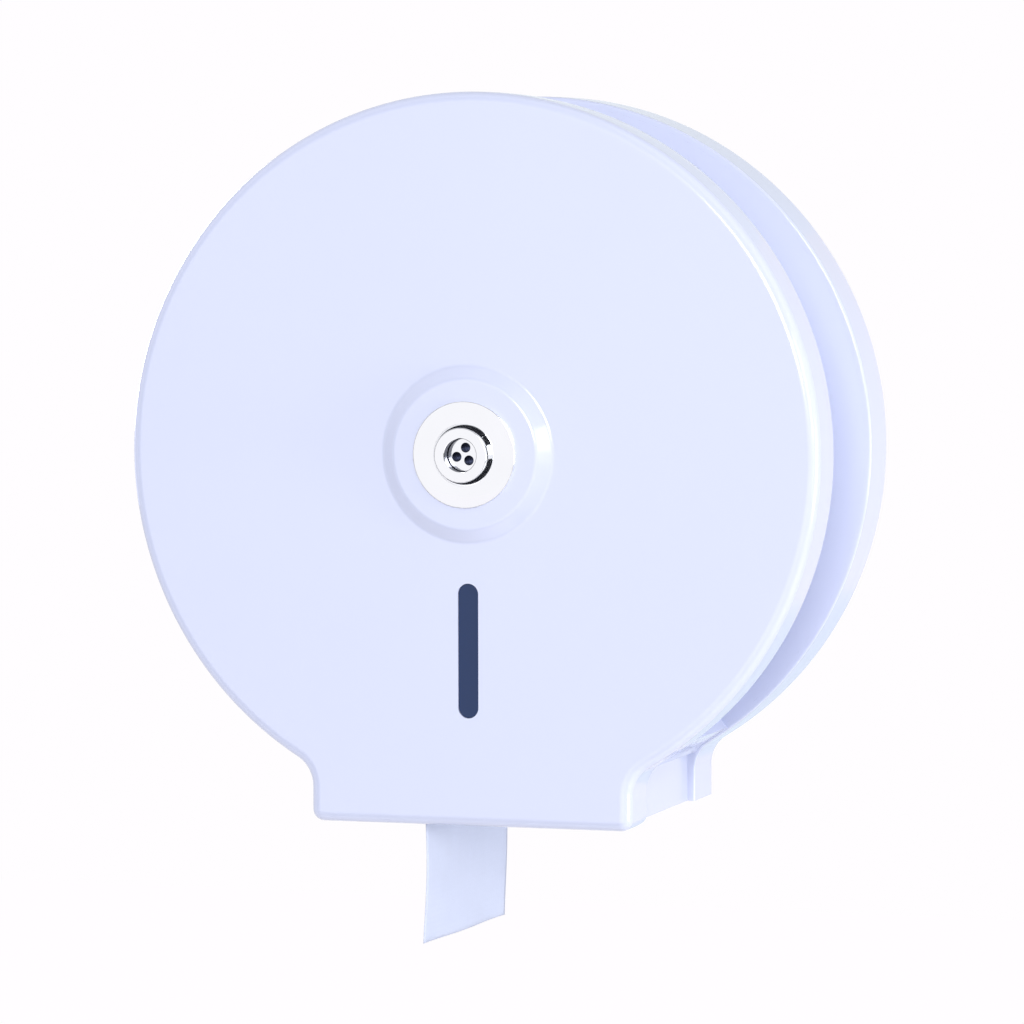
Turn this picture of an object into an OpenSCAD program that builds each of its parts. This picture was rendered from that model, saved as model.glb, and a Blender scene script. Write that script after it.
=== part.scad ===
// Jumbo toilet roll dispenser for a wall: a spool-shaped case with a hinged, locked cover.
// +Z is up and the cover faces -Y. The origin is on the wall, behind the centre of the disc.
// Depths are measured forward from the wall, so a depth of d lies at y = -d.

/* [Case] */
// Diameter of the cover's disc
disc_d = 304; // [280:1:320]
// Distance from the wall to the cover's flat face
case_depth = 122; // [112:1:140]
// Thickness of the moulded walls
wall_t = 2.5; // [2:0.1:3]
// Width of the cover's skirt
skirt_w = 142; // [134:1:146]
// Distance from the disc's centre down to the cover's bottom edge
skirt_drop = 157.5; // [156:0.5:166]
// Radius of the hollow between the disc and the skirt
flank_r = 14; // [10:1:18]
// Radius of the skirt's bottom corners, seen from the front
corner_r = 5; // [3.5:0.5:7]

/* [Cover] */
// Depth of the cover's side band
band_depth = 27; // [25:0.5:30]
// Radius of the cover's front edge
front_round = 5; // [4:0.5:6]
// Radius of the cover's rear edge
rear_round = 1.8; // [0.5:0.1:2]
// How far the cover's bottom edge turns inwards
lip_depth = 8; // [6:0.5:10]
// Diameter of the raised boss at its foot
boss_d = 77; // [74:0.5:84]
// Diameter of the boss's flat top
plateau_d = 61; // [58:0.5:64]
// Height of the boss
boss_h = 4.5; // [4:0.1:6]
// Thickness of the stop ribs inside the band
stop_rib_t = 2; // [1.5:0.1:3]
// How far the stop ribs reach over the front flange
stop_rib_reach = 3.5; // [2.5:0.1:5]

/* [Level window] */
// Width of the window
slot_w = 9; // [7:0.5:12]
// Length of the window
slot_len = 57; // [45:1:62]
// Distance from the disc's centre down to the window's middle
slot_below = 83; // [80:1:90]
// How far the lens lies behind the cover's face
lens_recess = 0.8; // [0.4:0.1:1.2]
// Thickness of the lens's flange
lens_t = 2; // [1.5:0.1:2.5]
// How far the lens's flange reaches past the window
lens_rim = 5; // [4.5:0.5:7]
// Diameter of the posts that hold the lens
post_d = 2.4; // [2:0.1:3]

/* [Waist] */
// How deep the waist lies inside the cover's disc
waist_depth = 21; // [20:0.5:23]
// How far the front flange's edge lies inside the cover's band
flange_gap = 0.5; // [0.4:0.1:0.8]
// How far the skirt's side walls lie inside the cover's outline
waist_step = 0.3; // [0.2:0.1:0.6]
// Further step of the side walls' lower panels
panel_step = 1.5; // [1:0.1:1.8]
// Height of the side walls' lower panels
panel_h = 21.5; // [17:0.5:24]
// Half angle, from straight down, at which the skirt's flanks start
flank_angle = 35.5; // [34:0.5:38]
// Distance from the disc's centre down to the base's bottom edge
base_drop = 154.5; // [146:0.5:155]

/* [Rear tray] */
// Depth of the rear rim
rim_depth = 28; // [24:0.5:30]
// How much smaller the rim's radius is than the cover's
rim_step = 1; // [0.5:0.1:2]
// Width of the rim's skirt
rim_skirt_w = 145; // [143:0.5:147]
// Radius of the rim's edges
rim_round = 1; // [0.5:0.1:1.2]
// Thickness of the back wall
back_t = 3; // [2.5:0.1:4]
// Height of the pad under the spindle
pad_t = 2; // [1.5:0.1:2.5]
// Width and height of the ribs on the back wall
rib_t = 2; // [1.5:0.1:2.5]
// Diameter of the wall screw holes
wall_hole_d = 6.5; // [5:0.5:8]
// Distance between the wall screw holes, across and up
wall_hole_pitch = 140; // [130:1:150]

/* [Roll] */
// Room round the full roll inside the drum
roll_room = 8.5; // [7.5:0.5:28]
// Room between the roll and the cover's face
roll_front_room = 11.8; // [11.8:0.1:18]
// Inner diameter of the cardboard core
core_bore_d = 57; // [56:0.5:60]
// Wall of the cardboard core
core_t = 1.5; // [1:0.1:2]
// Thickness of the solid that stands for the hanging paper
tail_t = 0.6; // [0.5:0.1:1]
// Sideways place of the hanging paper
tail_x = -21.5; // [-30:0.5:-15]
// Radius of the bend where the paper leaves the roll
tail_bend_r = 30; // [20:1:35]
// Distance from the disc's centre down to the paper's end
tail_drop = 210; // [190:1:230]

/* [Spindle and hub] */
// Diameter of the fixed spindle
spindle_d = 44; // [42:0.5:45]
// Bore of the spindle
spindle_bore_d = 32; // [31:0.5:33]
// Diameter of the spindle's flange
spindle_flange_d = 84; // [80:1:90]
// Thickness of the spindle's flange
spindle_flange_t = 3; // [2.5:0.1:3.5]
// Running clearance round the spindle, on the radius
running_gap = 0.05; // [0.02:0.01:0.08]
// Wall of the turning hub
hub_t = 2.4; // [2:0.1:3]
// Diameter of the hub's back flange
hub_flange_d = 84; // [70:1:90]
// Thickness of the hub's back flange
hub_flange_t = 2; // [1.5:0.1:2.5]
// Number of ribs on the hub
hub_ribs = 8; // [4:1:12]
// Thickness of the thrust washer
washer_t = 1.2; // [1:0.1:1.5]
// Thickness of the spring clip that keeps the hub on
clip_t = 1.2; // [1:0.1:1.4]

/* [Lock] */
// Diameter of the polished plate
plate_d = 45; // [40:0.5:50]
// Thickness of the polished plate
plate_t = 1.2; // [0.8:0.1:1.6]
// Diameter of the barrel where it stands on the plate
barrel_d = 26.4; // [25:0.1:28]
// Diameter of the barrel's face
barrel_face_d = 23; // [21:0.1:24]
// Height of the barrel over the plate
barrel_h = 4.7; // [4:0.1:6]
// Diameter of the barrel's stem
stem_d = 19; // [18:0.1:20]
// Width of the stem across its flats
stem_flat_w = 17; // [16:0.1:17.5]
// Diameter of the recess round the core
recess_d = 14.2; // [13.8:0.1:15]
// Depth of the recess, down to the core's seat
recess_h = 6.2; // [5:0.1:7]
// Diameter of the core's journal
core_journal_d = 12.5; // [12:0.1:12.8]
// Diameter of the key holes
key_hole_d = 4.2; // [3.6:0.1:4.4]
// Radius of the circle that the key holes lie on
key_circle_r = 3.2; // [3:0.1:3.5]
// Length of the cam
cam_len = 28; // [26:0.5:29]
// Width of the cam
cam_w = 9; // [8.5:0.1:9.5]
// Thickness of the cam
cam_t = 2.2; // [1.8:0.1:2.4]
// Thickness of the strike plate
strike_t = 1.5; // [1:0.1:1.5]
// Width of the strike plate's slot
strike_slot_w = 12.5; // [12:0.1:13]

/* [Hinge] */
// Length of the hinge
hinge_len = 48; // [40:1:52]
// Outer diameter of the knuckles
knuckle_d = 6.4; // [6:0.1:7]
// Diameter of the hinge pin
pin_d = 3; // [2.5:0.1:3.4]
// Thickness of the leaves
leaf_t = 1.2; // [1:0.1:1.4]

/* [Tear blades] */
// Distance from the wall to the rear end of each blade
blade_rear = 8; // [8:0.5:20]
// How far the front end of each blade lies behind the cover's band
blade_gap = 1; // [1:0.5:6]
// Height of each blade
blade_h = 13; // [11:0.5:15]
// Thickness of each blade
blade_t = 0.8; // [0.5:0.1:1]
// Distance between the teeth
tooth_pitch = 4; // [3:0.5:5]
// Height of the teeth
tooth_h = 3; // [2:0.5:3.5]

/* [Hidden] */
$fn = 96;

white = "#e6ebff";
polished = "#d8dce4";
steel = "#b4b8c0";
grey_plastic = "#9aa0a8";
smoked = "#3f4e75";
card = "#b69f7c";
paper = "#f4f4f8";

// Overlap that makes a cut run past a face
past = 1;
// How far the hollow beside the skirt crosses the disc's edge
hollow_cross = 0.02;
// Clearance between parts that only have to miss each other
free_gap = 0.3;
// Clearance of parts that slip together and stay
slip_gap = 0.1;
// Clearance along a part that turns, at each end
end_float = 0.2;
// Facets of pins and of other small rounds
small_fn = 32;

// Cover
disc_r = disc_d / 2;
skirt_half = skirt_w / 2;
band_rear = case_depth - band_depth;
face_inner = case_depth - wall_t;
boss_r = boss_d / 2;
plateau_r = plateau_d / 2;
flank_run = boss_r - plateau_r;
flank_turn = 2 * atan(boss_h / flank_run);
flank_arc_r = flank_run / (2 * sin(flank_turn));
plateau_outer = case_depth + boss_h;
plateau_inner = plateau_outer - wall_t;
stop_rib_angles = [-20, 20, 55, 90, 125, 160, 200];

// Waist: the front flange nests in the band, and its rear face is flush with the seam
seam_gap = 0.5;
flange_t = 2.5;
flange_rear = band_rear + seam_gap;
flange_front = flange_rear + flange_t;
flange_r = disc_r - wall_t - flange_gap;
flange_half = skirt_half - wall_t - flange_gap;
drum_r = disc_r - waist_depth;
drum_bore_r = drum_r - wall_t;
waist_inset = 2;
waist_r = disc_r - waist_inset;
waist_half = skirt_half - waist_step;
panel_half = waist_half - panel_step;
panel_below = base_drop - panel_h;
throat_half = panel_half - wall_t;

// Rear tray
rim_r = disc_r - rim_step;
rim_half = rim_skirt_w / 2;
rim_inner_r = rim_r - wall_t;
rim_inner_half = rim_half - wall_t;
rim_corner_r = 2;
pad_front = back_t + pad_t;
pad_margin = 3;
pad_r = spindle_flange_d / 2 + pad_margin;
drum_boss_r = 4;
drum_lug_w = 9;
drum_screw_r = drum_bore_r - drum_lug_w / 2;
drum_screw_core_r = 1.6;
drum_screw_head_r = 3.2;
drum_screw_head_h = 2;
drum_screw_reach = 8;
wall_rib_gap = 6;
wall_rib_end = drum_screw_r - wall_rib_gap;
wall_rib_step = 30;
drum_boss_front = 8;
drum_lug_front = drum_boss_front + wall_t;

// Spindle, hub and roll, from the back wall forward
spindle_r = spindle_d / 2;
spindle_flange_front = pad_front + spindle_flange_t;
washer_front = spindle_flange_front + washer_t;
hub_rear = washer_front + end_float;
hub_flange_front = hub_rear + hub_flange_t;
roll_rear = hub_flange_front + free_gap;
roll_front = face_inner - roll_front_room;
hub_proud = 3.2;
hub_front = roll_front + hub_proud;
groove_rear = hub_front + end_float;
groove_front = groove_rear + clip_t + end_float;
groove_h = 1;
groove_r = spindle_r - groove_h;
spindle_gap = 7;
spindle_front = case_depth - spindle_gap;
washer_w = 7;
spindle_screw_core_r = 1.7;
spindle_screw_head_r = 3.6;
spindle_screw_head_h = 1.8;
spindle_screw_reach = 5;
spindle_screw_out = 1;
spindle_screw_r = (spindle_r + spindle_flange_d / 2) / 2 + spindle_screw_out;
strike_screw_core_r = 1.25;
strike_screw_head_r = 2.5;
strike_screw_reach = 8;
strike_screw_head_h = 0.9;
strike_front = spindle_front + strike_t;
strike_screw_r = (spindle_r + spindle_bore_d / 2) / 2;
hub_bore_r = spindle_r + running_gap;
hub_tube_r = hub_bore_r + hub_t;
hub_rib_r = core_bore_d / 2 - free_gap;
hub_rib_t = 2.4;
clip_eye_r = 2.4;
clip_eye_hole_r = 0.9;
clip_eye_x = 4.6;
clip_gap = 12;
core_r = core_bore_d / 2 + core_t;
roll_r = drum_bore_r - roll_room;

// Hanging paper: it leaves the underside of the roll in a bend and then hangs straight
peel_r = roll_r + free_gap + tail_t;
peel_angle = asin((tail_bend_r - tail_x) / (peel_r + tail_bend_r));
bend_x = -(peel_r + tail_bend_r) * sin(peel_angle);
bend_z = -(peel_r + tail_bend_r) * cos(peel_angle);

// Lock, from the barrel's face backward
barrel_foot = plateau_outer + plate_t;
barrel_front = barrel_foot + barrel_h;
core_seat = barrel_front - recess_h;
core_bore_r = core_journal_d / 2 + running_gap;
core_flange_r = recess_d / 2 - end_float;
core_flange_t = 1;
key_hole_depth = 6;
barrel_edge = 0.5;
plate_edge_r = 0.4;
nut_t = 4;
nut_w = 23;
lock_washer_t = 0.8;
lock_washer_w = 4;
nut_front = plateau_inner - lock_washer_t;
nut_rear = nut_front - nut_t;
stem_proud = 0.8;
stem_rear = nut_rear - stem_proud;
journal_proud = 0.5;
journal_rear = stem_rear - journal_proud;
cam_screw_r = 1.6;
cam_screw_head_h = 1.8;
cam_screw_reach = 2.5;
cam_gap = 1.2;
cam_front = spindle_front - cam_gap;
cam_rear = cam_front - cam_t;
tail_w = 8;
tang_w = 6.5;
strike_slot_over = 3.5;
strike_slot_len = cam_len + strike_slot_over;

// Hinge: the base leaf lies on the front flange's rear face
hinge_half = hinge_len / 2;
knuckle_r = knuckle_d / 2;
pin_r = pin_d / 2;
pin_head_h = 1;
hinge_depth = flange_rear - knuckle_r;
leaf_x = -(sqrt(pow(disc_r - wall_t, 2) - pow(hinge_half, 2)) - slip_gap);
hinge_x = leaf_x + knuckle_r;
knuckle_half = hinge_len / 6;
leaf_front_gap = 6;
leaf_front = case_depth - leaf_front_gap;
leaf_screw_inset = 8;
leaf_screws = [-hinge_half + leaf_screw_inset, 0, hinge_half - leaf_screw_inset];
leaf_screw_core_r = 1.15;
leaf_screw_head_r = 2.2;
leaf_screw_head_h = 1;
leaf_screw_reach = 2.4;
base_leaf_gap = 2;
base_leaf_inner = -(drum_r + base_leaf_gap);
base_screw_x = (hinge_x + knuckle_r + base_leaf_inner) / 2;
cover_screw_shift = 1;
cover_screw_depth = (leaf_front + flange_front) / 2 + cover_screw_shift;

// Lens and its posts
lens_half_w = slot_w / 2 + lens_rim;
lens_half_len = slot_len / 2 + lens_rim;
post_inset = 2.4;
post_head_t = 0.8;
post_x = lens_half_w - post_inset;
post_z = lens_half_len - post_inset;

// Blades
blade_len = band_rear - blade_gap - blade_rear;
blade_step = 1;
blade_bottom = base_drop - blade_step;
blade_post_below = 3.5;
blade_post_inset = 10;
blade_posts = [blade_rear + blade_post_inset, blade_rear + blade_len / 2,
               blade_rear + blade_len - blade_post_inset];
blade_post_z = -(blade_bottom - blade_h + blade_post_below);
// Height at which the throat meets the drum's wall
drum_wall_z = sqrt(pow(drum_bore_r, 2) - pow(throat_half, 2));

// A flat shape in X and Z, thick from one depth to another
module layer(from, to) {
    translate([0, -from, 0])
        rotate([90, 0, 0])
            linear_extrude(to - from) children();
}

// A profile of radius and depth, turned about the disc's axis
module turned() {
    rotate([90, 0, 0])
        rotate_extrude() children();
}

// A rod along the disc's axis
module rod(r, from, to) {
    layer(from, to) circle(r);
}

// A ring along the disc's axis
module ring(r_out, r_in, from, to) {
    layer(from, to)
        difference() {
            circle(r_out);
            circle(r_in);
        }
}

// Cross recess for a screwdriver, in a head of radius r
module cross_slot(r) {
    square([1.2 * r, 0.3 * r], center = true);
    square([0.3 * r, 1.2 * r], center = true);
}

// A pan-head screw whose head looks to the front
module front_screw(x, z, seat, shank_r, head_r, head_h, reach) {
    translate([x, 0, z])
        difference() {
            union() {
                rod(shank_r, seat - reach, seat + head_h / 2);
                rod(head_r, seat, seat + head_h);
            }
            layer(seat + head_h / 2, seat + head_h + past) cross_slot(head_r);
        }
}

// The same screw, upright, with its seat at zero and its head above
module upright_screw(shank_r, head_r, head_h, reach) {
    difference() {
        union() {
            translate([0, 0, -reach]) cylinder(r = shank_r, h = reach + head_h / 2);
            cylinder(r = head_r, h = head_h);
        }
        translate([0, 0, head_h / 2]) linear_extrude(head_h) cross_slot(head_r);
    }
}

// A slot with round ends, upright
module upright_slot(w, len) {
    square([w, len - w], center = true);
    translate([0, (len - w) / 2]) circle(w / 2);
    translate([0, -(len - w) / 2]) circle(w / 2);
}

// Place of the hollow's centre beside the skirt, where its edge just crosses the disc's
function hollow_x(half, hollow) = half + hollow;
function hollow_z(r, half, hollow) =
    -sqrt(pow(r + hollow - hollow_cross, 2) - pow(half + hollow, 2));

// The case's front outline: a disc, a skirt and the two hollows between them
module outline(r, half, drop, hollow, corner = 1) {
    circle(r, $fn = 180);
    translate([-half, -drop + corner]) square([2 * half, drop - corner]);
    translate([-half + corner, -drop]) square([2 * (half - corner), drop]);
    for (side = [-1, 1]) {
        translate([side * (half - corner), -drop + corner]) circle(corner);
        difference() {
            polygon([[0, 0], [0, hollow_z(r, half, hollow)],
                     [side * hollow_x(half, hollow), hollow_z(r, half, hollow)]]);
            translate([side * hollow_x(half, hollow), hollow_z(r, half, hollow)]) circle(hollow);
        }
    }
}

// Section through an edge band: from the middle out to w, and from one depth to another
module band_section(w, from, to, front, rear) {
    square_h = to - from;
    translate([0, from]) square([w - front, square_h]);
    translate([0, from + rear]) square([w, square_h - front - rear]);
    translate([0, from]) square([w - rear, square_h / 2]);
    translate([w - front, to - front]) circle(front);
    translate([w - rear, from + rear]) circle(rear);
}

// The case's outline as a solid with its front and rear edges rounded
module pan(r, half, drop, hollow, corner, from, to, front, rear) {
    turned() band_section_half(r, from, to, front, rear);
    intersection() {
        translate([0, 0, -drop])
            linear_extrude(drop)
                mirror([0, 1]) both_sides() band_section(half, from, to, front, rear);
        rotate([90, 0, 90])
            linear_extrude(2 * half + 2 * past, center = true)
                mirror([1, 1]) band_section(drop, from, to, front, rear);
        layer(from, to) {
            translate([-half, -drop + corner]) square([2 * half, drop - corner]);
            translate([-half + corner, -drop]) square([2 * (half - corner), drop]);
            for (side = [-1, 1])
                translate([side * (half - corner), -drop + corner]) circle(corner);
        }
    }
    for (side = [-1, 1])
        difference() {
            layer(from, to)
                polygon([[0, 0], [0, hollow_z(r, half, hollow)],
                         [side * hollow_x(half, hollow), hollow_z(r, half, hollow)]]);
            translate([side * hollow_x(half, hollow), 0, hollow_z(r, half, hollow)])
                turned() flared_section(hollow, from, to, front, rear);
        }
}

// Same band section, kept to positive radii for turning
module band_section_half(w, from, to, front, rear) {
    intersection() {
        band_section(w, from, to, front, rear);
        translate([0, from]) square([w, to - from]);
    }
}

// A flat shape and its mirror image
module both_sides() {
    children();
    mirror([1, 0]) children();
}

// Section of the tool that cuts a hollow and leaves the same rounded edges
module flared_section(hollow, from, to, front, rear) {
    translate([0, from - past]) square([hollow, to - from + 2 * past]);
    difference() {
        translate([0, to - front]) square([hollow + front, front + past]);
        translate([hollow + front, to - front]) circle(front);
        translate([hollow + front, to - front]) square([front, front + past]);
    }
    difference() {
        translate([0, from - past]) square([hollow + rear, rear + past]);
        translate([hollow + rear, from + rear]) circle(rear);
    }
}

// Section of the raised boss, set in from its outer surface
module boss_section(inset) {
    join_y = boss_h / 2 - inset * cos(flank_turn);
    translate([0, case_depth]) {
        translate([0, -inset]) square([plateau_r, boss_h]);
        intersection() {
            translate([plateau_r, boss_h - flank_arc_r]) circle(flank_arc_r - inset);
            translate([plateau_r - past, join_y]) square([flank_run, boss_h]);
        }
        difference() {
            translate([plateau_r - past, -inset]) square([flank_run + past, join_y + inset]);
            translate([boss_r, flank_arc_r]) circle(flank_arc_r + inset);
        }
    }
}

// Outer form of the barrel's stem, with its two flats
module stem_shape(gap) {
    intersection() {
        circle(stem_d / 2 + gap);
        square([stem_flat_w + 2 * gap, stem_d + 2 * past], center = true);
    }
}

module back_tray() {
    color(white)
        difference() {
            union() {
                difference() {
                    pan(rim_r, rim_half, base_drop, flank_r, rim_corner_r, 0, rim_depth,
                        rim_round, rim_round);
                    layer(back_t, rim_depth + past)
                        outline(rim_inner_r, rim_inner_half, base_drop + 2 * rim_corner_r,
                                flank_r + wall_t);
                }
                rod(pad_r, back_t - past, pad_front);
                for (a = [0 : wall_rib_step : 360 - wall_rib_step])
                    rotate([0, a, 0])
                        translate([pad_r - past, -back_t - rib_t, -rib_t / 2])
                            cube([wall_rib_end - pad_r, rib_t + past, rib_t]);
                for (a = [45 : 90 : 315])
                    translate([drum_screw_r * cos(a), 0, drum_screw_r * sin(a)])
                        rod(drum_boss_r, back_t - past, drum_boss_front);
            }
            for (x = [-1, 1], z = [-1, 1])
                translate([x * wall_hole_pitch / 2, 0, z * wall_hole_pitch / 2])
                    rod(wall_hole_d / 2, -past, back_t + past);
            for (a = [45 : 90 : 315])
                translate([drum_screw_r * cos(a), 0, drum_screw_r * sin(a)])
                    rod(drum_screw_core_r, 1, drum_boss_front + past);
            for (a = [45 : 90 : 315])
                translate([spindle_screw_r * cos(a), 0, spindle_screw_r * sin(a)])
                    rod(spindle_screw_core_r, 1, pad_front + past);
        }
}

// The sector below the disc in which the skirt's flanks stand
module flank_sector() {
    reach = 2 * disc_d;
    polygon([[0, 0], [-reach * sin(flank_angle), -reach * cos(flank_angle)],
             [reach * sin(flank_angle), -reach * cos(flank_angle)]]);
}

// The throat, down through which the paper hangs
module throat(half) {
    translate([-half, -2 * disc_r]) square([2 * half, 2 * disc_r]);
}

module drum_shell() {
    color(white)
        difference() {
            union() {
                // Drum, open at the throat
                layer(back_t, flange_front)
                    difference() {
                        circle(drum_r, $fn = 180);
                        circle(drum_bore_r, $fn = 180);
                        throat(throat_half);
                    }
                // Inner lugs ring, screwed to the tray
                layer(drum_boss_front, drum_lug_front)
                    difference() {
                        circle(drum_bore_r + wall_t / 2, $fn = 180);
                        circle(drum_bore_r - drum_lug_w);
                        throat(throat_half);
                    }
                // Flange that closes the tray
                layer(rim_depth - wall_t, rim_depth)
                    difference() {
                        outline(rim_inner_r - free_gap, rim_inner_half - free_gap, base_drop,
                                flank_r + wall_t + free_gap);
                        circle(drum_bore_r, $fn = 180);
                        throat(throat_half);
                    }
                // Flange that nests in the cover
                layer(flange_rear, flange_front)
                    difference() {
                        outline(flange_r, flange_half, base_drop, flank_r + wall_t + flange_gap);
                        circle(drum_bore_r, $fn = 180);
                        throat(throat_half);
                    }
                // Flanks and side walls of the skirt, outside the cover's band and the rim
                layer(rim_depth + free_gap, band_rear - free_gap) waist_skin();
                layer(rim_depth - wall_t, flange_rear + wall_t / 2)
                    intersection() {
                        waist_skin();
                        outline(rim_inner_r - free_gap, rim_inner_half - free_gap, base_drop,
                                flank_r + wall_t + free_gap);
                        outline(flange_r, flange_half, base_drop, flank_r + wall_t + flange_gap);
                    }
                // Side walls inside the tray
                for (side = [-1, 1])
                    layer(back_t, rim_depth)
                        translate([side * (throat_half + wall_t / 2), -(base_drop + drum_wall_z) / 2])
                            square([wall_t, base_drop - drum_wall_z], center = true);
                blade_post_pair(post_d / 2, 0, blade_t + slip_gap);
                blade_post_pair(post_d, blade_t, blade_t + post_head_t);
            }
            for (a = [45 : 90 : 315])
                translate([drum_screw_r * cos(a), 0, drum_screw_r * sin(a)])
                    rod(drum_screw_core_r + 0.5, drum_boss_front - past, drum_lug_front + past);
            // Notch for the cover's hinge leaf
            translate([-disc_r, -flange_front - past, -hinge_half - 2 * free_gap])
                cube([disc_r + leaf_x + leaf_t + free_gap, flange_t + 2 * past,
                      hinge_len + 4 * free_gap]);
            for (z = leaf_screws)
                translate([base_screw_x, 0, z])
                    rod(leaf_screw_core_r, flange_rear - past,
                        flange_rear - leaf_t + leaf_screw_reach + 2 * slip_gap);
        }
}

// Outline of the waist where the skirt stands out, set in by a wall
module waist_outline(inset) {
    intersection() {
        outline(waist_r - inset, waist_half - inset, base_drop, flank_r + inset);
        translate([-disc_r, -panel_below + inset / 4])
            square([2 * disc_r, panel_below]);
    }
    translate([-panel_half + inset, -base_drop - (inset > 0 ? past : 0)])
        square([2 * (panel_half - inset), base_drop]);
}

// Walls of the skirt where it stands out of the waist, with the end walls of the hollow
module waist_skin() {
    intersection() {
        difference() {
            waist_outline(0);
            waist_outline(wall_t);
            circle(drum_bore_r, $fn = 180);
        }
        flank_sector();
    }
    intersection() {
        waist_outline(wall_t / 2);
        for (side = [-1, 1])
            rotate(-90 + side * flank_angle)
                translate([drum_r - wall_t / 2, side > 0 ? -wall_t : 0])
                    square([disc_r - drum_r + wall_t, wall_t]);
    }
}

// Pairs of posts that hold the two tear blades
module blade_post_pair(r, from, to) {
    for (side = [-1, 1], d = blade_posts)
        translate([side * (throat_half - to), -d, blade_post_z])
            rotate([0, side * 90, 0])
                cylinder(r = r, h = to - from + (from == 0 ? past / 2 : 0), $fn = small_fn);
}

module drum_screws() {
    color(steel)
        for (a = [45 : 90 : 315])
            front_screw(drum_screw_r * cos(a), drum_screw_r * sin(a), drum_lug_front,
                        drum_screw_core_r, drum_screw_head_r, drum_screw_head_h,
                        drum_screw_reach);
}

module blade(side) {
    teeth = floor(blade_len / tooth_pitch);
    margin = (blade_len - teeth * tooth_pitch) / 2;
    bottom = [for (i = [0 : teeth - 1], k = [0, 1])
        [margin + (i + k * 0.5) * tooth_pitch, k == 0 ? tooth_h : 0]];
    translate([side * (throat_half - blade_t / 2), -blade_rear, -blade_bottom])
        rotate([90, 0, -90])
            translate([0, 0, -blade_t / 2])
                difference() {
                    linear_extrude(blade_t)
                        polygon(concat([[0, blade_h], [0, tooth_h]], bottom,
                                       [[blade_len - margin, tooth_h], [blade_len, tooth_h],
                                        [blade_len, blade_h]]));
                    for (d = blade_posts)
                        translate([d - blade_rear, blade_post_z + blade_bottom, -past])
                            cylinder(r = post_d / 2 + slip_gap, h = blade_t + 2 * past, $fn = small_fn);
                }
}

module tear_blade_left() {
    color(steel) blade(-1);
}

module tear_blade_right() {
    color(steel) blade(1);
}

module spindle() {
    color(grey_plastic)
        difference() {
            union() {
                rod(spindle_flange_d / 2, pad_front, spindle_flange_front);
                rod(spindle_r, pad_front, spindle_front);
            }
            rod(spindle_bore_d / 2, spindle_flange_front + wall_t, spindle_front + past);
            ring(spindle_r + past, groove_r, groove_rear, groove_front);
            for (a = [45 : 90 : 315])
                translate([spindle_screw_r * cos(a), 0, spindle_screw_r * sin(a)]) {
                    rod(spindle_screw_core_r + free_gap, pad_front - past,
                        spindle_flange_front + past);
                    rod(spindle_screw_head_r + free_gap, spindle_flange_front - spindle_screw_head_h,
                        spindle_flange_front + past);
                }
            for (side = [-1, 1])
                translate([side * strike_screw_r, 0, 0])
                    rod(strike_screw_core_r, spindle_front - strike_screw_reach, spindle_front + past);
        }
}

module spindle_screws() {
    color(steel)
        for (a = [45 : 90 : 315])
            front_screw(spindle_screw_r * cos(a), spindle_screw_r * sin(a),
                        spindle_flange_front - spindle_screw_head_h,
                        spindle_screw_core_r, spindle_screw_head_r,
                        spindle_screw_head_h - slip_gap, spindle_screw_reach);
}

module thrust_washer() {
    color("ivory")
        ring(spindle_r + washer_w, spindle_r + slip_gap, spindle_flange_front, washer_front);
}

module roll_hub() {
    color(grey_plastic) {
        ring(hub_tube_r, hub_bore_r, hub_rear, hub_front);
        ring(hub_flange_d / 2, hub_bore_r, hub_rear, hub_flange_front);
        for (i = [0 : hub_ribs - 1])
            rotate([0, i * 360 / hub_ribs, 0])
                translate([hub_tube_r - hub_t / 2, -hub_front, -hub_rib_t / 2])
                    cube([hub_rib_r - hub_tube_r + hub_t / 2, hub_front - hub_rear, hub_rib_t]);
    }
}

// Spring clip with its gap and two eyes
module hub_clip() {
    clip_in = groove_r + slip_gap / 2;
    clip_out = hub_tube_r - end_float;
    eye_z = clip_in + clip_eye_r + end_float;
    clip_rear = groove_rear + end_float / 2;
    color(steel)
        layer(clip_rear, clip_rear + clip_t)
            difference() {
                union() {
                    circle(clip_out);
                    for (side = [-1, 1])
                        translate([side * clip_eye_x, eye_z]) circle(clip_eye_r);
                }
                difference() {
                    polygon([[0, 0], [-clip_gap / 2, spindle_d], [clip_gap / 2, spindle_d]]);
                    for (side = [-1, 1])
                        translate([side * clip_eye_x, eye_z]) circle(clip_eye_r);
                }
                for (side = [-1, 1])
                    translate([side * clip_eye_x, eye_z]) circle(clip_eye_hole_r);
                circle(clip_in);
            }
}

module strike_plate() {
    color(steel)
        layer(spindle_front, strike_front)
            difference() {
                circle(spindle_r);
                upright_slot(strike_slot_w, strike_slot_len);
                for (side = [-1, 1])
                    translate([side * strike_screw_r, 0])
                        circle(strike_screw_core_r + 2 * slip_gap);
            }
}

module strike_screws() {
    color(steel)
        for (side = [-1, 1])
            front_screw(side * strike_screw_r, 0, strike_front, strike_screw_core_r,
                        strike_screw_head_r, strike_screw_head_h, strike_screw_reach);
}

module roll_core() {
    color(card)
        ring(core_r, core_bore_d / 2, roll_rear, roll_front);
}

module paper_roll() {
    color(paper)
        layer(roll_rear, roll_front)
            difference() {
                circle(roll_r, $fn = 180);
                circle(core_r + slip_gap / 2);
            }
}

module paper_tail() {
    reach = 3 * tail_bend_r;
    color(paper)
        layer(roll_rear, roll_front) {
            translate([bend_x, bend_z])
                intersection() {
                    difference() {
                        circle(tail_bend_r + tail_t);
                        circle(tail_bend_r);
                    }
                    polygon([[0, 0], [reach, 0], [reach, reach],
                             [reach * sin(peel_angle), reach * cos(peel_angle)]]);
                }
            translate([tail_x, -tail_drop])
                square([tail_t, tail_drop + bend_z]);
        }
}

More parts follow.
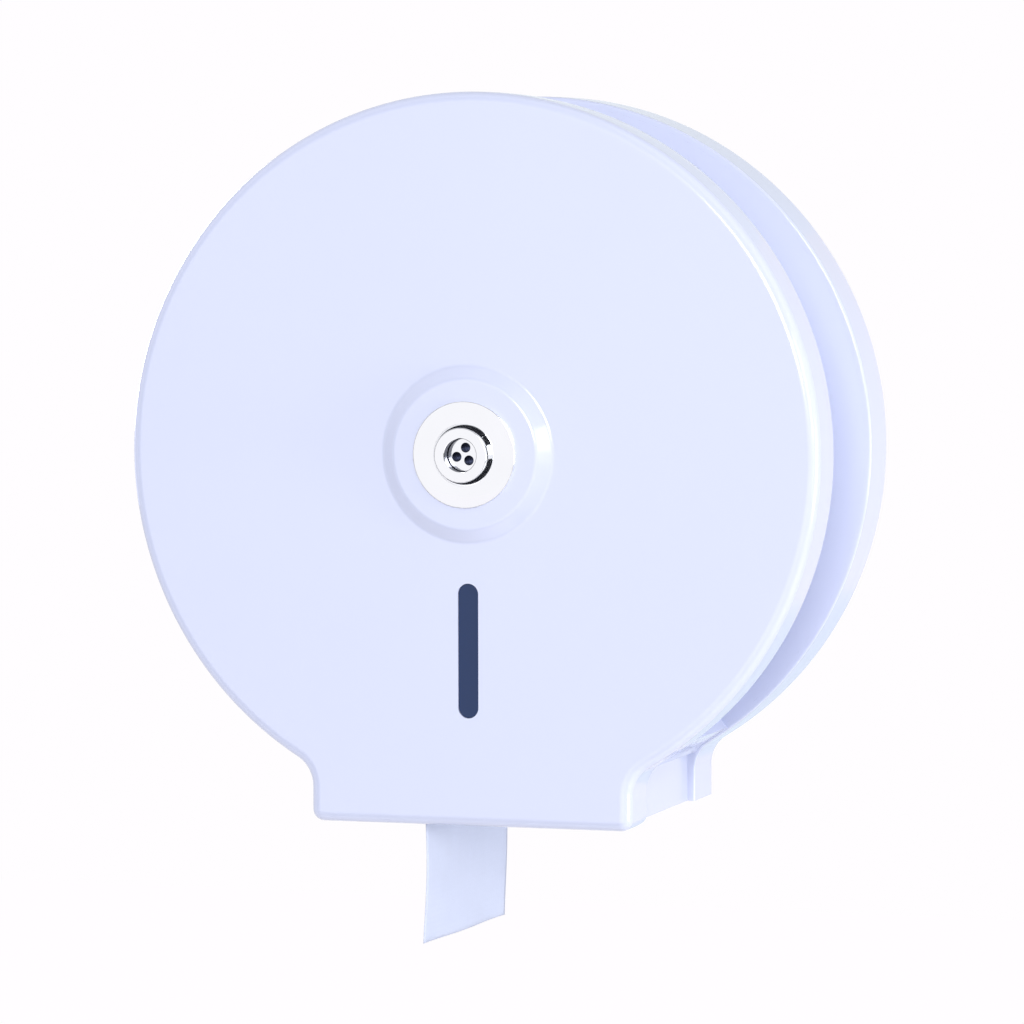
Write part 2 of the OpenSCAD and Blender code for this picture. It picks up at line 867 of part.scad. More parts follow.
module front_cover() {
    color(white)
        difference() {
            union() {
                difference() {
                    pan(disc_r, skirt_half, skirt_drop, flank_r, corner_r,
                        band_rear, case_depth, front_round, rear_round);
                    pan(disc_r - wall_t, skirt_half - wall_t, skirt_drop - wall_t,
                        flank_r + wall_t, corner_r - wall_t, band_rear - 2 * wall_t, face_inner,
                        front_round - wall_t, past);
                    // The bottom is open behind the lip
                    layer(band_rear - past, case_depth - lip_depth)
                        translate([-skirt_half + wall_t, -skirt_drop - past])
                            square([2 * (skirt_half - wall_t), skirt_drop / 2]);
                }
                turned() boss_section(0);
                // Stop ribs that rest on the front flange
                for (a = stop_rib_angles)
                    rotate([0, -a, 0])
                        translate([flange_r - stop_rib_reach, -case_depth + front_round,
                                   -stop_rib_t / 2])
                            cube([disc_r - wall_t / 2 - flange_r + stop_rib_reach,
                                  case_depth - front_round - flange_front - free_gap,
                                  stop_rib_t]);
                // Flat pad behind the hinge leaf
                intersection() {
                    translate([-disc_r, -face_inner - past / 2, -hinge_half])
                        cube([disc_r + leaf_x, face_inner + past / 2 - flange_front - free_gap,
                              hinge_len]);
                    rod(disc_r - wall_t / 2, band_rear, case_depth - 1);
                }
                for (x = [-1, 1], z = [-1, 1])
                    translate([x * post_x, 0, z * post_z - slot_below]) {
                        rod(post_d / 2, face_inner - lens_t - slip_gap, face_inner + past / 2);
                        rod(0.9 * post_d, face_inner - lens_t - post_head_t - slip_gap,
                            face_inner - lens_t - slip_gap);
                    }
            }
            turned() boss_cavity();
            layer(plateau_inner - past, plateau_outer + past) stem_shape(slip_gap);
            translate([0, 0, -slot_below])
                layer(face_inner - past, case_depth + past) upright_slot(slot_w, slot_len);
            for (z = leaf_screws)
                translate([leaf_x - leaf_screw_reach + leaf_t - slip_gap, -cover_screw_depth, z])
                    rotate([0, 90, 0])
                        cylinder(r = leaf_screw_core_r, h = leaf_screw_reach, $fn = small_fn);
        }
}

// Hollow behind the boss, starting just behind the face's inner side
module boss_cavity() {
    skim = 0.01;
    difference() {
        boss_section(wall_t);
        square([boss_r + past, face_inner - skim]);
    }
    translate([0, face_inner - past]) square([plateau_r - flank_run / 4, past + skim]);
}

module window_lens() {
    color(smoked)
        difference() {
            union() {
                translate([0, 0, -slot_below]) {
                    layer(face_inner - lens_t, face_inner)
                        square([2 * lens_half_w, 2 * lens_half_len], center = true);
                    layer(face_inner - lens_t, case_depth - lens_recess)
                        upright_slot(slot_w - 2 * slip_gap, slot_len - 2 * slip_gap);
                }
            }
            for (x = [-1, 1], z = [-1, 1])
                translate([x * post_x, 0, z * post_z - slot_below])
                    rod(post_d / 2 + slip_gap, face_inner - lens_t - past, face_inner + slip_gap);
        }
}

module lock_plate() {
    color(polished)
        difference() {
            turned() {
                translate([0, plateau_outer]) square([plate_d / 2, plate_t - plate_edge_r]);
                translate([0, plateau_outer]) square([plate_d / 2 - plate_edge_r, plate_t]);
                translate([plate_d / 2 - plate_edge_r, barrel_foot - plate_edge_r])
                    circle(plate_edge_r, $fn = small_fn);
            }
            layer(plateau_outer - past, barrel_foot + past) stem_shape(slip_gap);
        }
}

module lock_barrel() {
    skim = 0.01;
    color(polished)
        difference() {
            union() {
                turned()
                    difference() {
                        polygon([[0, barrel_foot], [barrel_d / 2, barrel_foot],
                                 [barrel_d / 2, barrel_foot + barrel_edge],
                                 [barrel_face_d / 2 + slip_gap, barrel_front - barrel_edge],
                                 [barrel_face_d / 2 - barrel_edge, barrel_front],
                                 [0, barrel_front]]);
                        square([core_bore_r, barrel_front + past]);
                    }
                layer(stem_rear, barrel_foot + skim)
                    difference() {
                        stem_shape(0);
                        circle(core_bore_r);
                    }
            }
            rod(recess_d / 2, core_seat, barrel_front + past);
        }
}

module lock_washer() {
    color(steel)
        layer(nut_front, plateau_inner)
            difference() {
                circle(stem_d / 2 + lock_washer_w);
                circle(stem_d / 2 + slip_gap);
            }
}

module lock_nut() {
    color(steel)
        layer(nut_rear, nut_front)
            difference() {
                circle(nut_w / 2 / cos(30), $fn = 6);
                circle(stem_d / 2 + slip_gap / 2);
            }
}

module lock_core() {
    color(polished)
        difference() {
            union() {
                rod(core_flange_r, core_seat, core_seat + core_flange_t);
                rod(core_journal_d / 2, journal_rear, core_seat);
                layer(cam_front, journal_rear) square(tail_w, center = true);
                layer(cam_rear, cam_front) square(tang_w, center = true);
            }
            for (a = [75 : 120 : 315])
                translate([key_circle_r * cos(a), 0, key_circle_r * sin(a)])
                    rod(key_hole_d / 2, core_seat + core_flange_t - key_hole_depth,
                        core_seat + core_flange_t + past, $fn = small_fn);
            rod(cam_screw_r, cam_rear - past, cam_front + cam_screw_reach + slip_gap);
        }
}

module lock_cam() {
    color(steel)
        layer(cam_rear, cam_front)
            difference() {
                upright_slot(cam_w, cam_len);
                square(tang_w + 2 * slip_gap, center = true);
            }
}

module cam_screw() {
    color(steel)
        translate([0, -cam_rear, 0])
            rotate([-90, 0, 0])
                upright_screw(cam_screw_r, cam_w / 2, cam_screw_head_h,
                              cam_t + cam_screw_reach);
}

// One knuckle of the hinge, between two heights
module knuckle(from, to, bore_r) {
    translate([hinge_x, -hinge_depth, from])
        difference() {
            cylinder(r = knuckle_r, h = to - from);
            translate([0, 0, -past]) cylinder(r = bore_r, h = to - from + 2 * past);
        }
}

module hinge_base_leaf() {
    color(steel)
        difference() {
            union() {
                knuckle(-knuckle_half, knuckle_half, pin_r);
                translate([hinge_x, -flange_rear, -knuckle_half])
                    cube([base_leaf_inner - hinge_x, leaf_t, 2 * knuckle_half]);
                translate([hinge_x + knuckle_r + free_gap, -flange_rear, -hinge_half])
                    cube([base_leaf_inner - hinge_x - knuckle_r - free_gap, leaf_t, hinge_len]);
            }
            translate([hinge_x, -hinge_depth, -hinge_half - past])
                cylinder(r = pin_r, h = hinge_len + 2 * past);
            for (z = leaf_screws)
                translate([base_screw_x, 0, z])
                    rod(leaf_screw_core_r + 2 * slip_gap, flange_rear - leaf_t - past,
                        flange_rear + past);
        }
}

module hinge_base_screws() {
    color(steel)
        for (z = leaf_screws)
            translate([base_screw_x, -flange_rear + leaf_t, z])
                rotate([-90, 0, 0])
                    upright_screw(leaf_screw_core_r, leaf_screw_head_r, leaf_screw_head_h,
                                  leaf_screw_reach);
}

module hinge_pin() {
    color(steel)
        translate([hinge_x, -hinge_depth, 0]) {
            cylinder(r = pin_r, h = hinge_len, center = true);
            translate([0, 0, hinge_half + free_gap]) cylinder(r = 1.6 * pin_r, h = pin_head_h);
            translate([0, 0, hinge_half - past]) cylinder(r = pin_r, h = past + free_gap);
        }
}

module hinge_cover_leaf() {
    color(steel)
        difference() {
            union() {
                knuckle(knuckle_half + end_float, hinge_half, pin_r + running_gap);
                knuckle(-hinge_half, -knuckle_half - end_float, pin_r + running_gap);
                for (side = [-1, 1])
                    translate([leaf_x, -leaf_front,
                               side > 0 ? knuckle_half + end_float : -hinge_half])
                        cube([leaf_t, leaf_front - hinge_depth,
                              hinge_half - knuckle_half - end_float]);
                translate([leaf_x, -leaf_front, -hinge_half])
                    cube([leaf_t, leaf_front - hinge_depth - knuckle_r - free_gap, hinge_len]);
            }
            translate([hinge_x, -hinge_depth, -hinge_half - past])
                cylinder(r = pin_r + running_gap, h = hinge_len + 2 * past);
            for (z = leaf_screws)
                translate([leaf_x - past, -cover_screw_depth, z])
                    rotate([0, 90, 0])
                        cylinder(r = leaf_screw_core_r + 2 * slip_gap, h = leaf_t + 2 * past,
                                 $fn = small_fn);
        }
}

module hinge_cover_screws() {
    color(steel)
        for (z = leaf_screws)
            translate([leaf_x + leaf_t, -cover_screw_depth, z])
                rotate([0, 90, 0])
                    upright_screw(leaf_screw_core_r, leaf_screw_head_r, leaf_screw_head_h,
                                  leaf_screw_reach);
}

back_tray();
drum_shell();
drum_screws();
tear_blade_left();
tear_blade_right();
spindle();
spindle_screws();
thrust_washer();
roll_hub();
hub_clip();
strike_plate();
strike_screws();
roll_core();
paper_roll();
paper_tail();
front_cover();
window_lens();
lock_plate();
lock_barrel();
lock_washer();
lock_nut();
lock_core();
lock_cam();
cam_screw();
hinge_base_leaf();
hinge_base_screws();
hinge_pin();
hinge_cover_leaf();
hinge_cover_screws();
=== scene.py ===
import math

import bmesh
import bpy
from mathutils import Matrix, Quaternion, Vector


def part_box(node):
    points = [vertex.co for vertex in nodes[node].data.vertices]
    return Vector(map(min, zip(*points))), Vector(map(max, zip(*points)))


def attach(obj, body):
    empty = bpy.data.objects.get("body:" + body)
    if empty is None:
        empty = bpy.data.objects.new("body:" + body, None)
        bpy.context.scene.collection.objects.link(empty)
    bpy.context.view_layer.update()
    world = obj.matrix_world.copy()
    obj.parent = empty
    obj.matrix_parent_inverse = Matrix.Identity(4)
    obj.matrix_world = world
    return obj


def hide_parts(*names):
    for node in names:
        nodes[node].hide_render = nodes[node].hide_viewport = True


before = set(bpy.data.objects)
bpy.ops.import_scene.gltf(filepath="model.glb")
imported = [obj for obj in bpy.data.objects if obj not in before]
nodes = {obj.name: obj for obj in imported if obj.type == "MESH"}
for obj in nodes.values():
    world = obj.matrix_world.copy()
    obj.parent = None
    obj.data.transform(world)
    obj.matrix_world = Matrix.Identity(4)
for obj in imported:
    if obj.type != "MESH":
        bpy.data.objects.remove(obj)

bpy.context.view_layer.update()

# The set: a long lens to the right of the cover and a little above it, in a white room with three
# soft lamps. A pale floor, clear from below, lies far under the dispenser, because it hangs on a
# wall. Dark flags and pale cards stand where only polished faces see them.
scene = bpy.context.scene
scene.view_settings.view_transform = "Standard"

camera_place = Vector((0.7155, -2.2992, 0.1216))
camera_aim = Vector((-0.0003, -0.0600, -0.0281))
camera_roll = math.radians(-0.10)
film_width = 36.0
lens_length = 192.04
camera = bpy.data.objects.new("camera", bpy.data.cameras.new("camera"))
camera.data.sensor_fit = "HORIZONTAL"
camera.data.sensor_width = film_width
camera.data.lens = lens_length
camera.location = camera_place
camera.rotation_mode = "QUATERNION"
camera.rotation_quaternion = ((camera_aim - camera_place).to_track_quat("-Z", "Y")
                              @ Quaternion((0, 0, 1), camera_roll))
scene.collection.objects.link(camera)
scene.camera = camera

room_white = (1.0, 0.982, 1.0, 1.0)
room_light = (0.905, 0.95, 1.07, 1.0)
room_strength = 0.62
world = bpy.data.worlds.new("white_room")
scene.world = world
world.use_nodes = True
world.node_tree.nodes.clear()


def feed(tree, inputs, *in_order, **by_name):
    """Gives inputs their values or the outputs they follow, in order or by name with _ for spaces.

    A node given as a value stands for its first output.
    """
    pairs = list(zip(inputs, in_order))
    pairs += [(inputs[name.replace("_", " ")], value) for name, value in by_name.items()]
    for socket, value in pairs:
        if isinstance(value, bpy.types.Node):
            value = value.outputs[0]
        if isinstance(value, bpy.types.NodeSocket):
            tree.links.new(value, socket)
        else:
            socket.default_value = value


def add(tree, kind, *in_order, operation=None, **by_name):
    """A new node in a tree, with its inputs fed."""
    node = tree.nodes.new(kind)
    if operation:
        node.operation = operation
    feed(tree, node.inputs, *in_order, **by_name)
    return node


def maths(tree, operation, *values):
    """One sum in a tree, from nodes, sockets and numbers."""
    return add(tree, "ShaderNodeMath", *values, operation=operation)


def seen_directly(tree):
    """1 for rays from the lens, off a polished face or through glass, and 0 for light on a matt face."""
    path = add(tree, "ShaderNodeLightPath").outputs
    first_two = maths(tree, "MAXIMUM", path["Is Camera Ray"], path["Is Glossy Ray"])
    return maths(tree, "MAXIMUM", first_two, path["Is Transmission Ray"])


tree = world.node_tree
ambient = add(tree, "ShaderNodeBackground", Color=room_light, Strength=room_strength)
seen = add(tree, "ShaderNodeBackground", Color=room_white, Strength=1.0)
choice = add(tree, "ShaderNodeMixShader", seen_directly(tree), ambient, seen)
add(tree, "ShaderNodeOutputWorld", choice)


def towards(azimuth, elevation, distance):
    """A place seen from the wall face's middle: azimuth from straight ahead to the right, in degrees."""
    turn = math.radians(azimuth)
    climb = math.radians(elevation)
    level = math.cos(climb)
    return Vector((math.sin(turn) * level, -math.cos(turn) * level, math.sin(climb))) * distance


lamp_distance = 3.0
warm_white = (1.0, 0.985, 0.98)
lamps = {
    "softbox_front": {"azimuth": 14, "elevation": 13, "size": 0.9, "power": 39.8, "colour": warm_white},
    "softbox_right": {"azimuth": 84, "elevation": -6, "size": 0.9, "power": 35.5,
                      "colour": (0.97, 0.985, 1.0)},
    "softbox_rear": {"azimuth": 225, "elevation": 8, "size": 1.0, "power": 24.0, "colour": warm_white},
    "shine_card": {"azimuth": 53, "elevation": 10, "size": 1.0, "power": 9.0, "colour": (1.0, 1.0, 1.0)},
}
for name, lamp in lamps.items():
    light = bpy.data.lights.new(name, "AREA")
    light.shape = "SQUARE"
    light.size = lamp["size"]
    light.energy = lamp["power"]
    light.color = lamp["colour"]
    holder = bpy.data.objects.new(name, light)
    holder.location = towards(lamp["azimuth"], lamp["elevation"], lamp_distance)
    holder.visible_diffuse = name != "shine_card"
    holder.rotation_mode = "QUATERNION"
    holder.rotation_quaternion = (-holder.location).to_track_quat("-Z", "Y")
    scene.collection.objects.link(holder)


def piece_of_set(name, corners, faces, colour, glow, hidden_from=(), one_sided=False):
    """A thin piece of the set, matt, that glows for the lens. One side can be clear."""
    mesh = bpy.data.meshes.new(name)
    mesh.from_pydata(corners, [], faces)
    surface = bpy.data.materials.new(name)
    surface.use_nodes = True
    tree = surface.node_tree
    tree.nodes.clear()
    matt = add(tree, "ShaderNodeBsdfDiffuse", Color=colour)
    shine = add(tree, "ShaderNodeEmission", Color=glow, Strength=seen_directly(tree))
    look = add(tree, "ShaderNodeAddShader", matt, shine)
    if one_sided:
        behind = add(tree, "ShaderNodeNewGeometry").outputs["Backfacing"]
        look = add(tree, "ShaderNodeMixShader", behind, look, add(tree, "ShaderNodeBsdfTransparent"))
    add(tree, "ShaderNodeOutputMaterial", look)
    mesh.materials.append(surface)
    flat = bpy.data.objects.new(name, mesh)
    scene.collection.objects.link(flat)
    for rays in hidden_from:
        setattr(flat, "visible_" + rays, False)


floor_height = -1.2
floor_reach = 7.0
piece_of_set("floor", [(x * floor_reach, y * floor_reach, floor_height)
                       for x, y in ((-1, -1), (1, -1), (1, 1), (-1, 1))], [(0, 1, 2, 3)],
             (0.66, 0.65, 0.66, 1.0), (0.63, 0.592, 0.565, 1.0), one_sided=True)

all_but_gloss = ("camera", "diffuse", "shadow", "transmission")
no_glow = (0.0, 0.0, 0.0, 1.0)
flag_distance = 1.25


def flag(name, off_axis, around):
    """A dark flag for polished faces alone: a part of a bowl between two angles off the disc's axis."""
    steps = 48
    corners = []
    for i in range(steps + 1):
        turn = math.radians(around[0] + (around[1] - around[0]) * i / steps)
        for angle in off_axis:
            out = flag_distance * math.sin(math.radians(angle))
            ahead = flag_distance * math.cos(math.radians(angle))
            corners.append((out * math.cos(turn), -ahead, out * math.sin(turn)))
    faces = [(2 * i, 2 * i + 1, 2 * i + 3, 2 * i + 2) for i in range(steps)]
    piece_of_set(name, corners, faces, (0.02, 0.02, 0.025, 1.0), no_glow, all_but_gloss)


flag("ring_flag", (37, 64), (24, 348))
flag("side_flag", (63, 69), (-12, 24))
top_flag_height = 0.42
piece_of_set("top_flag", [(x, y, top_flag_height)
                          for x, y in ((-0.30, -0.07), (0.55, -0.07), (0.55, 0.70), (-0.30, 0.70))],
             [(0, 1, 2, 3)], (0.25, 0.27, 0.32, 1.0), no_glow, ("camera", "glossy", "transmission"))
card_distance = 2.5
for name, corners, glow in (
        ("sky_card", [(-1.3, 0.10), (-0.7, 0.25), (0.0, 0.55), (0.5, 0.80), (0.5, 1.5), (-1.3, 1.5)],
         (0.90, 0.95, 1.0, 1.0)),
        ("low_card", [(-0.9, -1.15), (0.45, -1.15), (0.45, -0.68), (0.0, -0.62), (-0.9, -0.30)],
         (0.78, 0.88, 1.0, 1.0))):
    piece_of_set(name, [(x, card_distance, z) for x, z in corners], [range(len(corners))],
                 (0.02, 0.02, 0.02, 1.0), glow, all_but_gloss)

# Back tray: the rear half of the spool, moulded in one piece of glossy white plastic. Its flat back
# wall takes four wall screws, twelve ribs and a round pad stiffen it, and its rim stands behind the
# waist. The skirt's end is open at the bottom.


def new_group(kind, name, inputs, outputs):
    """An empty node group with its sockets; returns it, its given values and its results."""
    group = bpy.data.node_groups.new(name, kind + "NodeTree")
    for label, socket, *value in inputs:
        made = group.interface.new_socket(label, in_out="INPUT", socket_type="NodeSocket" + socket)
        if value:
            made.default_value = value[0]
    for label, socket in outputs:
        group.interface.new_socket(label, in_out="OUTPUT", socket_type="NodeSocket" + socket)
    return group, group.nodes.new("NodeGroupInput").outputs, group.nodes.new("NodeGroupOutput").inputs


def noise(tree, **inputs):
    """A noise on a piece's own coordinates."""
    place = add(tree, "ShaderNodeTexCoord").outputs["Object"]
    return add(tree, "ShaderNodeTexNoise", Vector=place, **inputs)


def spread(tree, value, low, high):
    """A noise value stretched from its usual range to low and high."""
    return add(tree, "ShaderNodeMapRange", Value=value, From_Min=0.3, From_Max=0.7, To_Min=low, To_Max=high)


def scaled(tree, colour, factor):
    """A colour made lighter or darker by a factor."""
    return add(tree, "ShaderNodeVectorMath", colour, operation="SCALE", Scale=factor)


def drifting(tree, colour, cloud, amount):
    """A colour that turns lighter and darker along a noise, by up to an amount."""
    less, more = [maths(tree, operation, 1.0, amount) for operation in ("SUBTRACT", "ADD")]
    return scaled(tree, colour, spread(tree, cloud, less, more))


def surface_results(tree, given, result, tone, gloss, relief, depth):
    """A group's colour and roughness, each drifting along a noise, and the normal of its relief."""
    rough = maths(tree, "MULTIPLY_ADD", spread(tree, gloss, -1.0, 1.0), given["Gloss drift"],
                  given["Roughness"])
    feed(tree, result, Colour=drifting(tree, given["Colour"], tone, given["Tone drift"]), Roughness=rough,
         Normal=add(tree, "ShaderNodeBump", Strength=1.0, Distance=depth, Height=relief))


# Moulded plastic: a slow drift of tone, patches of finer and duller gloss, and shallow orange peel
moulded, given, result = new_group(
    "Shader", "moulded_surface",
    [("Colour", "Color", (0.8, 0.8, 0.8, 1)), ("Tone drift", "Float", 0.01), ("Roughness", "Float", 0.2),
     ("Gloss drift", "Float", 0.03), ("Peel scale", "Float", 420.0), ("Peel depth", "Float", 0.000001)],
    [("Colour", "Color"), ("Roughness", "Float"), ("Normal", "Vector")])
surface_results(moulded, given, result, noise(moulded, Scale=7.0, Detail=2.0),
                noise(moulded, Scale=38.0, Detail=4.0),
                noise(moulded, Scale=given["Peel scale"], Detail=2.0), given["Peel depth"])


def material_from(name, group, settings):
    """A material with a group in it; returns it, its tree, its shader's inputs and the group's results."""
    material = bpy.data.materials.new(name)
    material.use_nodes = True
    tree = material.node_tree
    surface = tree.nodes.new("ShaderNodeGroup")
    surface.node_tree = group
    for label, value in settings.items():
        surface.inputs[label].default_value = value
    return material, tree, tree.nodes["Principled BSDF"].inputs, surface.outputs


def finish_with(name, group, settings, **sockets):
    """A material whose colour, roughness and normal come from a group; the rest is set on the shader."""
    material, tree, shader, surface = material_from(name, group, settings)
    feed(tree, shader, Base_Color=surface["Colour"], Roughness=surface["Roughness"],
         Normal=surface["Normal"], **sockets)
    return material


white_case = finish_with("white_case", moulded,
                         {"Colour": (0.735, 0.772, 0.945, 1), "Tone drift": 0.006, "Roughness": 0.13,
                          "Gloss drift": 0.02},
                         IOR=1.5, Coat_Weight=0.3, Coat_Roughness=0.04)


def arc(centre, radius, start, end, steps):
    """Points along an arc in X and Z, between two angles in degrees."""
    turn = [math.radians(start + (end - start) * i / steps) for i in range(steps + 1)]
    return [(centre[0] + radius * math.cos(a), centre[1] + radius * math.sin(a)) for a in turn]


def case_half(radius, half, drop, hollow, inset, corner=0.0):
    """Right half of the case's outline, set in by a wall: from the skirt's bottom to the disc's top."""
    centre = (half + hollow, -math.sqrt((radius + hollow) ** 2 - (half + hollow) ** 2))
    tangent = math.degrees(math.atan2(centre[1], centre[0]))
    side = half - inset
    if corner:
        bend = corner - inset
        foot = [((side - bend) * i / 16, inset - drop) for i in range(16)]
        foot += arc((side - bend, inset - drop + bend), bend, -90, 0, 6)
    else:
        foot = [(side, -drop)]
    return (foot + arc(centre, hollow + inset, 180, 180 + tangent, 12)
            + arc((0.0, 0.0), radius - inset, tangent, 90, 96)[1:])


def mirrored(points, ends=0):
    """The left half that goes with a right half, without its ends where the loop closes."""
    return [(-x, z) for x, z in reversed(points[ends:-1])]


def loft(bm, rings, loop_closed, stack_closed):
    """Skin over rings of (points in X and Z, depth); returns the vertices, ring by ring."""
    grid = [[bm.verts.new((x, -depth, z)) for x, z in points] for points, depth in rings]
    rows = len(grid)
    count = len(grid[0])
    for j in range(rows if stack_closed else rows - 1):
        for i in range(count if loop_closed else count - 1):
            after = (i + 1) % count
            above = (j + 1) % rows
            bm.faces.new((grid[j][i], grid[j][after], grid[above][after], grid[above][i]))
    return grid


def prism(bm, points, rear, front):
    """A closed form with one outline, between two depths."""
    for ring in loft(bm, [(points, rear), (points, front)], True, False):
        bm.faces.new(ring)


def rod(bm, x, z, radius, rear, front, segments=40):
    """A closed rod along the disc's axis."""
    prism(bm, arc((x, z), radius, 0, 360, segments)[:-1], rear, front)


def block(bm, low, high, turn=0.0):
    """A closed block between two corners, turned about the disc's axis by degrees."""
    s = math.sin(math.radians(turn))
    c = math.cos(math.radians(turn))
    spots = ((low[0], low[2]), (high[0], low[2]), (high[0], high[2]), (low[0], high[2]))
    prism(bm, [(x * c - z * s, x * s + z * c) for x, z in spots], -high[1], -low[1])


def polar(radius, turn):
    """A place in X and Z, by its distance from the disc's axis and its angle in degrees."""
    return radius * math.cos(math.radians(turn)), radius * math.sin(math.radians(turn))


def to_mesh(name, bm, material, sharp=35):
    """An object from a closed skin, with its faces outwards and its flat edges kept."""
    bmesh.ops.remove_doubles(bm, verts=bm.verts, dist=1e-6)
    bmesh.ops.recalc_face_normals(bm, faces=bm.faces)
    mesh = bpy.data.meshes.new(name)
    bm.to_mesh(mesh)
    bm.free()
    mesh.materials.append(material)
    mesh.shade_smooth()
    mesh.set_sharp_from_angle(angle=math.radians(sharp))
    made = bpy.data.objects.new(name, mesh)
    scene.collection.objects.link(made)
    return made


def plain(made):
    """Turns an object with modifiers into a plain mesh."""
    bpy.context.view_layer.update()
    evaluated = made.evaluated_get(bpy.context.evaluated_depsgraph_get())
    mesh = bpy.data.meshes.new_from_object(evaluated)
    made.modifiers.clear()
    made.data = mesh
    return made


def carve(made, bm, operation="DIFFERENCE"):
    """Cuts a skin out of an object, or joins it on."""
    tool = to_mesh("tool", bm, made.data.materials[0])
    cut = made.modifiers.new("cut", "BOOLEAN")
    cut.operation = operation
    cut.solver = "EXACT"
    cut.use_self = True
    cut.object = tool
    plain(made)
    bpy.data.objects.remove(tool)


def ease(made, width, sharp=35):
    """Small rounds along the sharp edges, and flat faces that stay flat in the light."""
    made.data.shade_smooth()
    bevel = made.modifiers.new("rounds", "BEVEL")
    bevel.width = width
    bevel.segments = 2
    bevel.limit_method = "ANGLE"
    bevel.angle_limit = math.radians(sharp)
    level = made.modifiers.new("level", "WEIGHTED_NORMAL")
    level.keep_sharp = True


def place_on(made, body, slot, *replaced):
    """Says what a piece rides on and hides the solids that it stands for; slot, the finish, is not used."""
    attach(made, body)
    if replaced:
        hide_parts(*replaced)
    return made


tray_low, tray_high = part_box("back_tray")
tray = {"radius": tray_high.x, "half": 0.0725, "drop": -tray_low.z, "hollow": 0.014}
tray_depth = -tray_low.y
wall = 0.0025
back_wall = 0.003
tray_round = 0.001
pad_radius = 0.045
pad_depth = 0.005
rib = 0.002
rib_reach = (0.044, 0.118)
boss_ring = 0.124
boss_radius = 0.004
boss_depth = 0.008
boss_bore = 0.0017
boss_bore_floor = 0.001
wall_hole_half_pitch = 0.070
wall_hole_radius = 0.00325
quarter_turns = (45, 135, 225, 315)


def tray_ring(inset, depth):
    side = case_half(inset=inset, **tray)
    return side + mirrored(side), depth


round_turns = [math.radians(22.5 * i) for i in range(5)]
rear_round = [(tray_round - tray_round * math.sin(t), tray_round - tray_round * math.cos(t))
              for t in round_turns]
front_round = [(inset, tray_depth - depth) for inset, depth in reversed(rear_round)]
flange_seat = wall + 0.00028
profile = rear_round + front_round + [(flange_seat, tray_depth), (flange_seat, tray_depth - wall),
                                      (wall, tray_depth - wall), (wall, back_wall)]
bm = bmesh.new()
grid = loft(bm, [tray_ring(inset, depth) for inset, depth in profile], False, False)
bm.faces.new(grid[0])
bm.faces.new(grid[-1])
bm.faces.new([row[0] for row in grid] + [row[-1] for row in reversed(grid)])
back_tray = to_mesh("back_tray_moulding", bm, white_case)

bm = bmesh.new()
rod(bm, 0, 0, pad_radius, back_wall - rib / 2, pad_depth, 120)
for turn in range(0, 360, 30):
    block(bm, (rib_reach[0], -back_wall - rib, -rib / 2), (rib_reach[1], -back_wall + rib / 2, rib / 2),
          turn)
for turn in quarter_turns:
    rod(bm, *polar(boss_ring, turn), boss_radius, back_wall - rib / 2, boss_depth)
carve(back_tray, bm, "UNION")
bm = bmesh.new()
for turn in quarter_turns:
    rod(bm, *polar(boss_ring, turn), boss_bore, boss_bore_floor, boss_depth + rib)
for x in (-wall_hole_half_pitch, wall_hole_half_pitch):
    for z in (-wall_hole_half_pitch, wall_hole_half_pitch):
        rod(bm, x, z, wall_hole_radius, -rib, back_wall + rib)
carve(back_tray, bm)
ease(back_tray, 0.00025)
place_on(back_tray, "base", "white_case", "back_tray")

# Drum shell: the waist of the spool and the side walls of the skirt, moulded in the same white
# plastic. It carries the roll's chamber, closes the tray with one flange and nests in the cover with
# the other, and four screws hold it to the tray.


def softened_copy(name, node, material, width, close=None):
    """A piece with a solid's own shape: its loose facets merged, its flat faces whole, its edges eased.

    The pair in close brings the edges at one depth up to another, so that a joint shows no gap.
    """
    bm = bmesh.new()
    bm.from_mesh(nodes[node].data)
    bmesh.ops.remove_doubles(bm, verts=bm.verts, dist=1e-6)
    if close:
        for vert in bm.verts:
            if abs(vert.co.y + close[0]) < 1e-5:
                vert.co.y = -close[1]
    bmesh.ops.dissolve_limit(bm, angle_limit=math.radians(0.6), verts=bm.verts, edges=bm.edges)
    mesh = bpy.data.meshes.new(name)
    bm.to_mesh(mesh)
    bm.free()
    mesh.materials.append(material)
    made = bpy.data.objects.new(name, mesh)
    scene.collection.objects.link(made)
    ease(made, width)
    return made


skin_rear = 0.0283
joint_gap = 0.00002
drum_shell = softened_copy("drum_shell_moulding", "drum_shell", white_case, 0.0002,
                           (skin_rear, tray_depth + joint_gap))
place_on(drum_shell, "base", "white_case", "drum_shell")

# Screws: pan heads with a cross recess, in zinc-plated steel. They hold the shell to the tray, the
# spindle to its pad, the strike plate to the spindle, the hinge's leaves and the lock's cam.
metal, given, result = new_group(
    "Shader", "plated_metal",
    [("Colour", "Color", (0.6, 0.6, 0.6, 1)), ("Tone drift", "Float", 0.05), ("Roughness", "Float", 0.3),
     ("Gloss drift", "Float", 0.08), ("Brush direction", "Vector", (1, 1, 1)),
     ("Brush depth", "Float", 0.000003)],
    [("Colour", "Color"), ("Roughness", "Float"), ("Normal", "Vector")])
stretched = add(metal, "ShaderNodeVectorMath", add(metal, "ShaderNodeTexCoord").outputs["Object"],
                given["Brush direction"], operation="MULTIPLY")
brush = add(metal, "ShaderNodeTexNoise", Vector=stretched, Scale=900.0, Detail=4.0)
surface_results(metal, given, result, noise(metal, Scale=55.0, Detail=3.0), brush, brush,
                given["Brush depth"])

zinc_steel = finish_with("zinc_steel", metal,
                         {"Colour": (0.60, 0.63, 0.68, 1), "Tone drift": 0.08, "Roughness": 0.30,
                          "Gloss drift": 0.07},
                         Metallic=1.0)

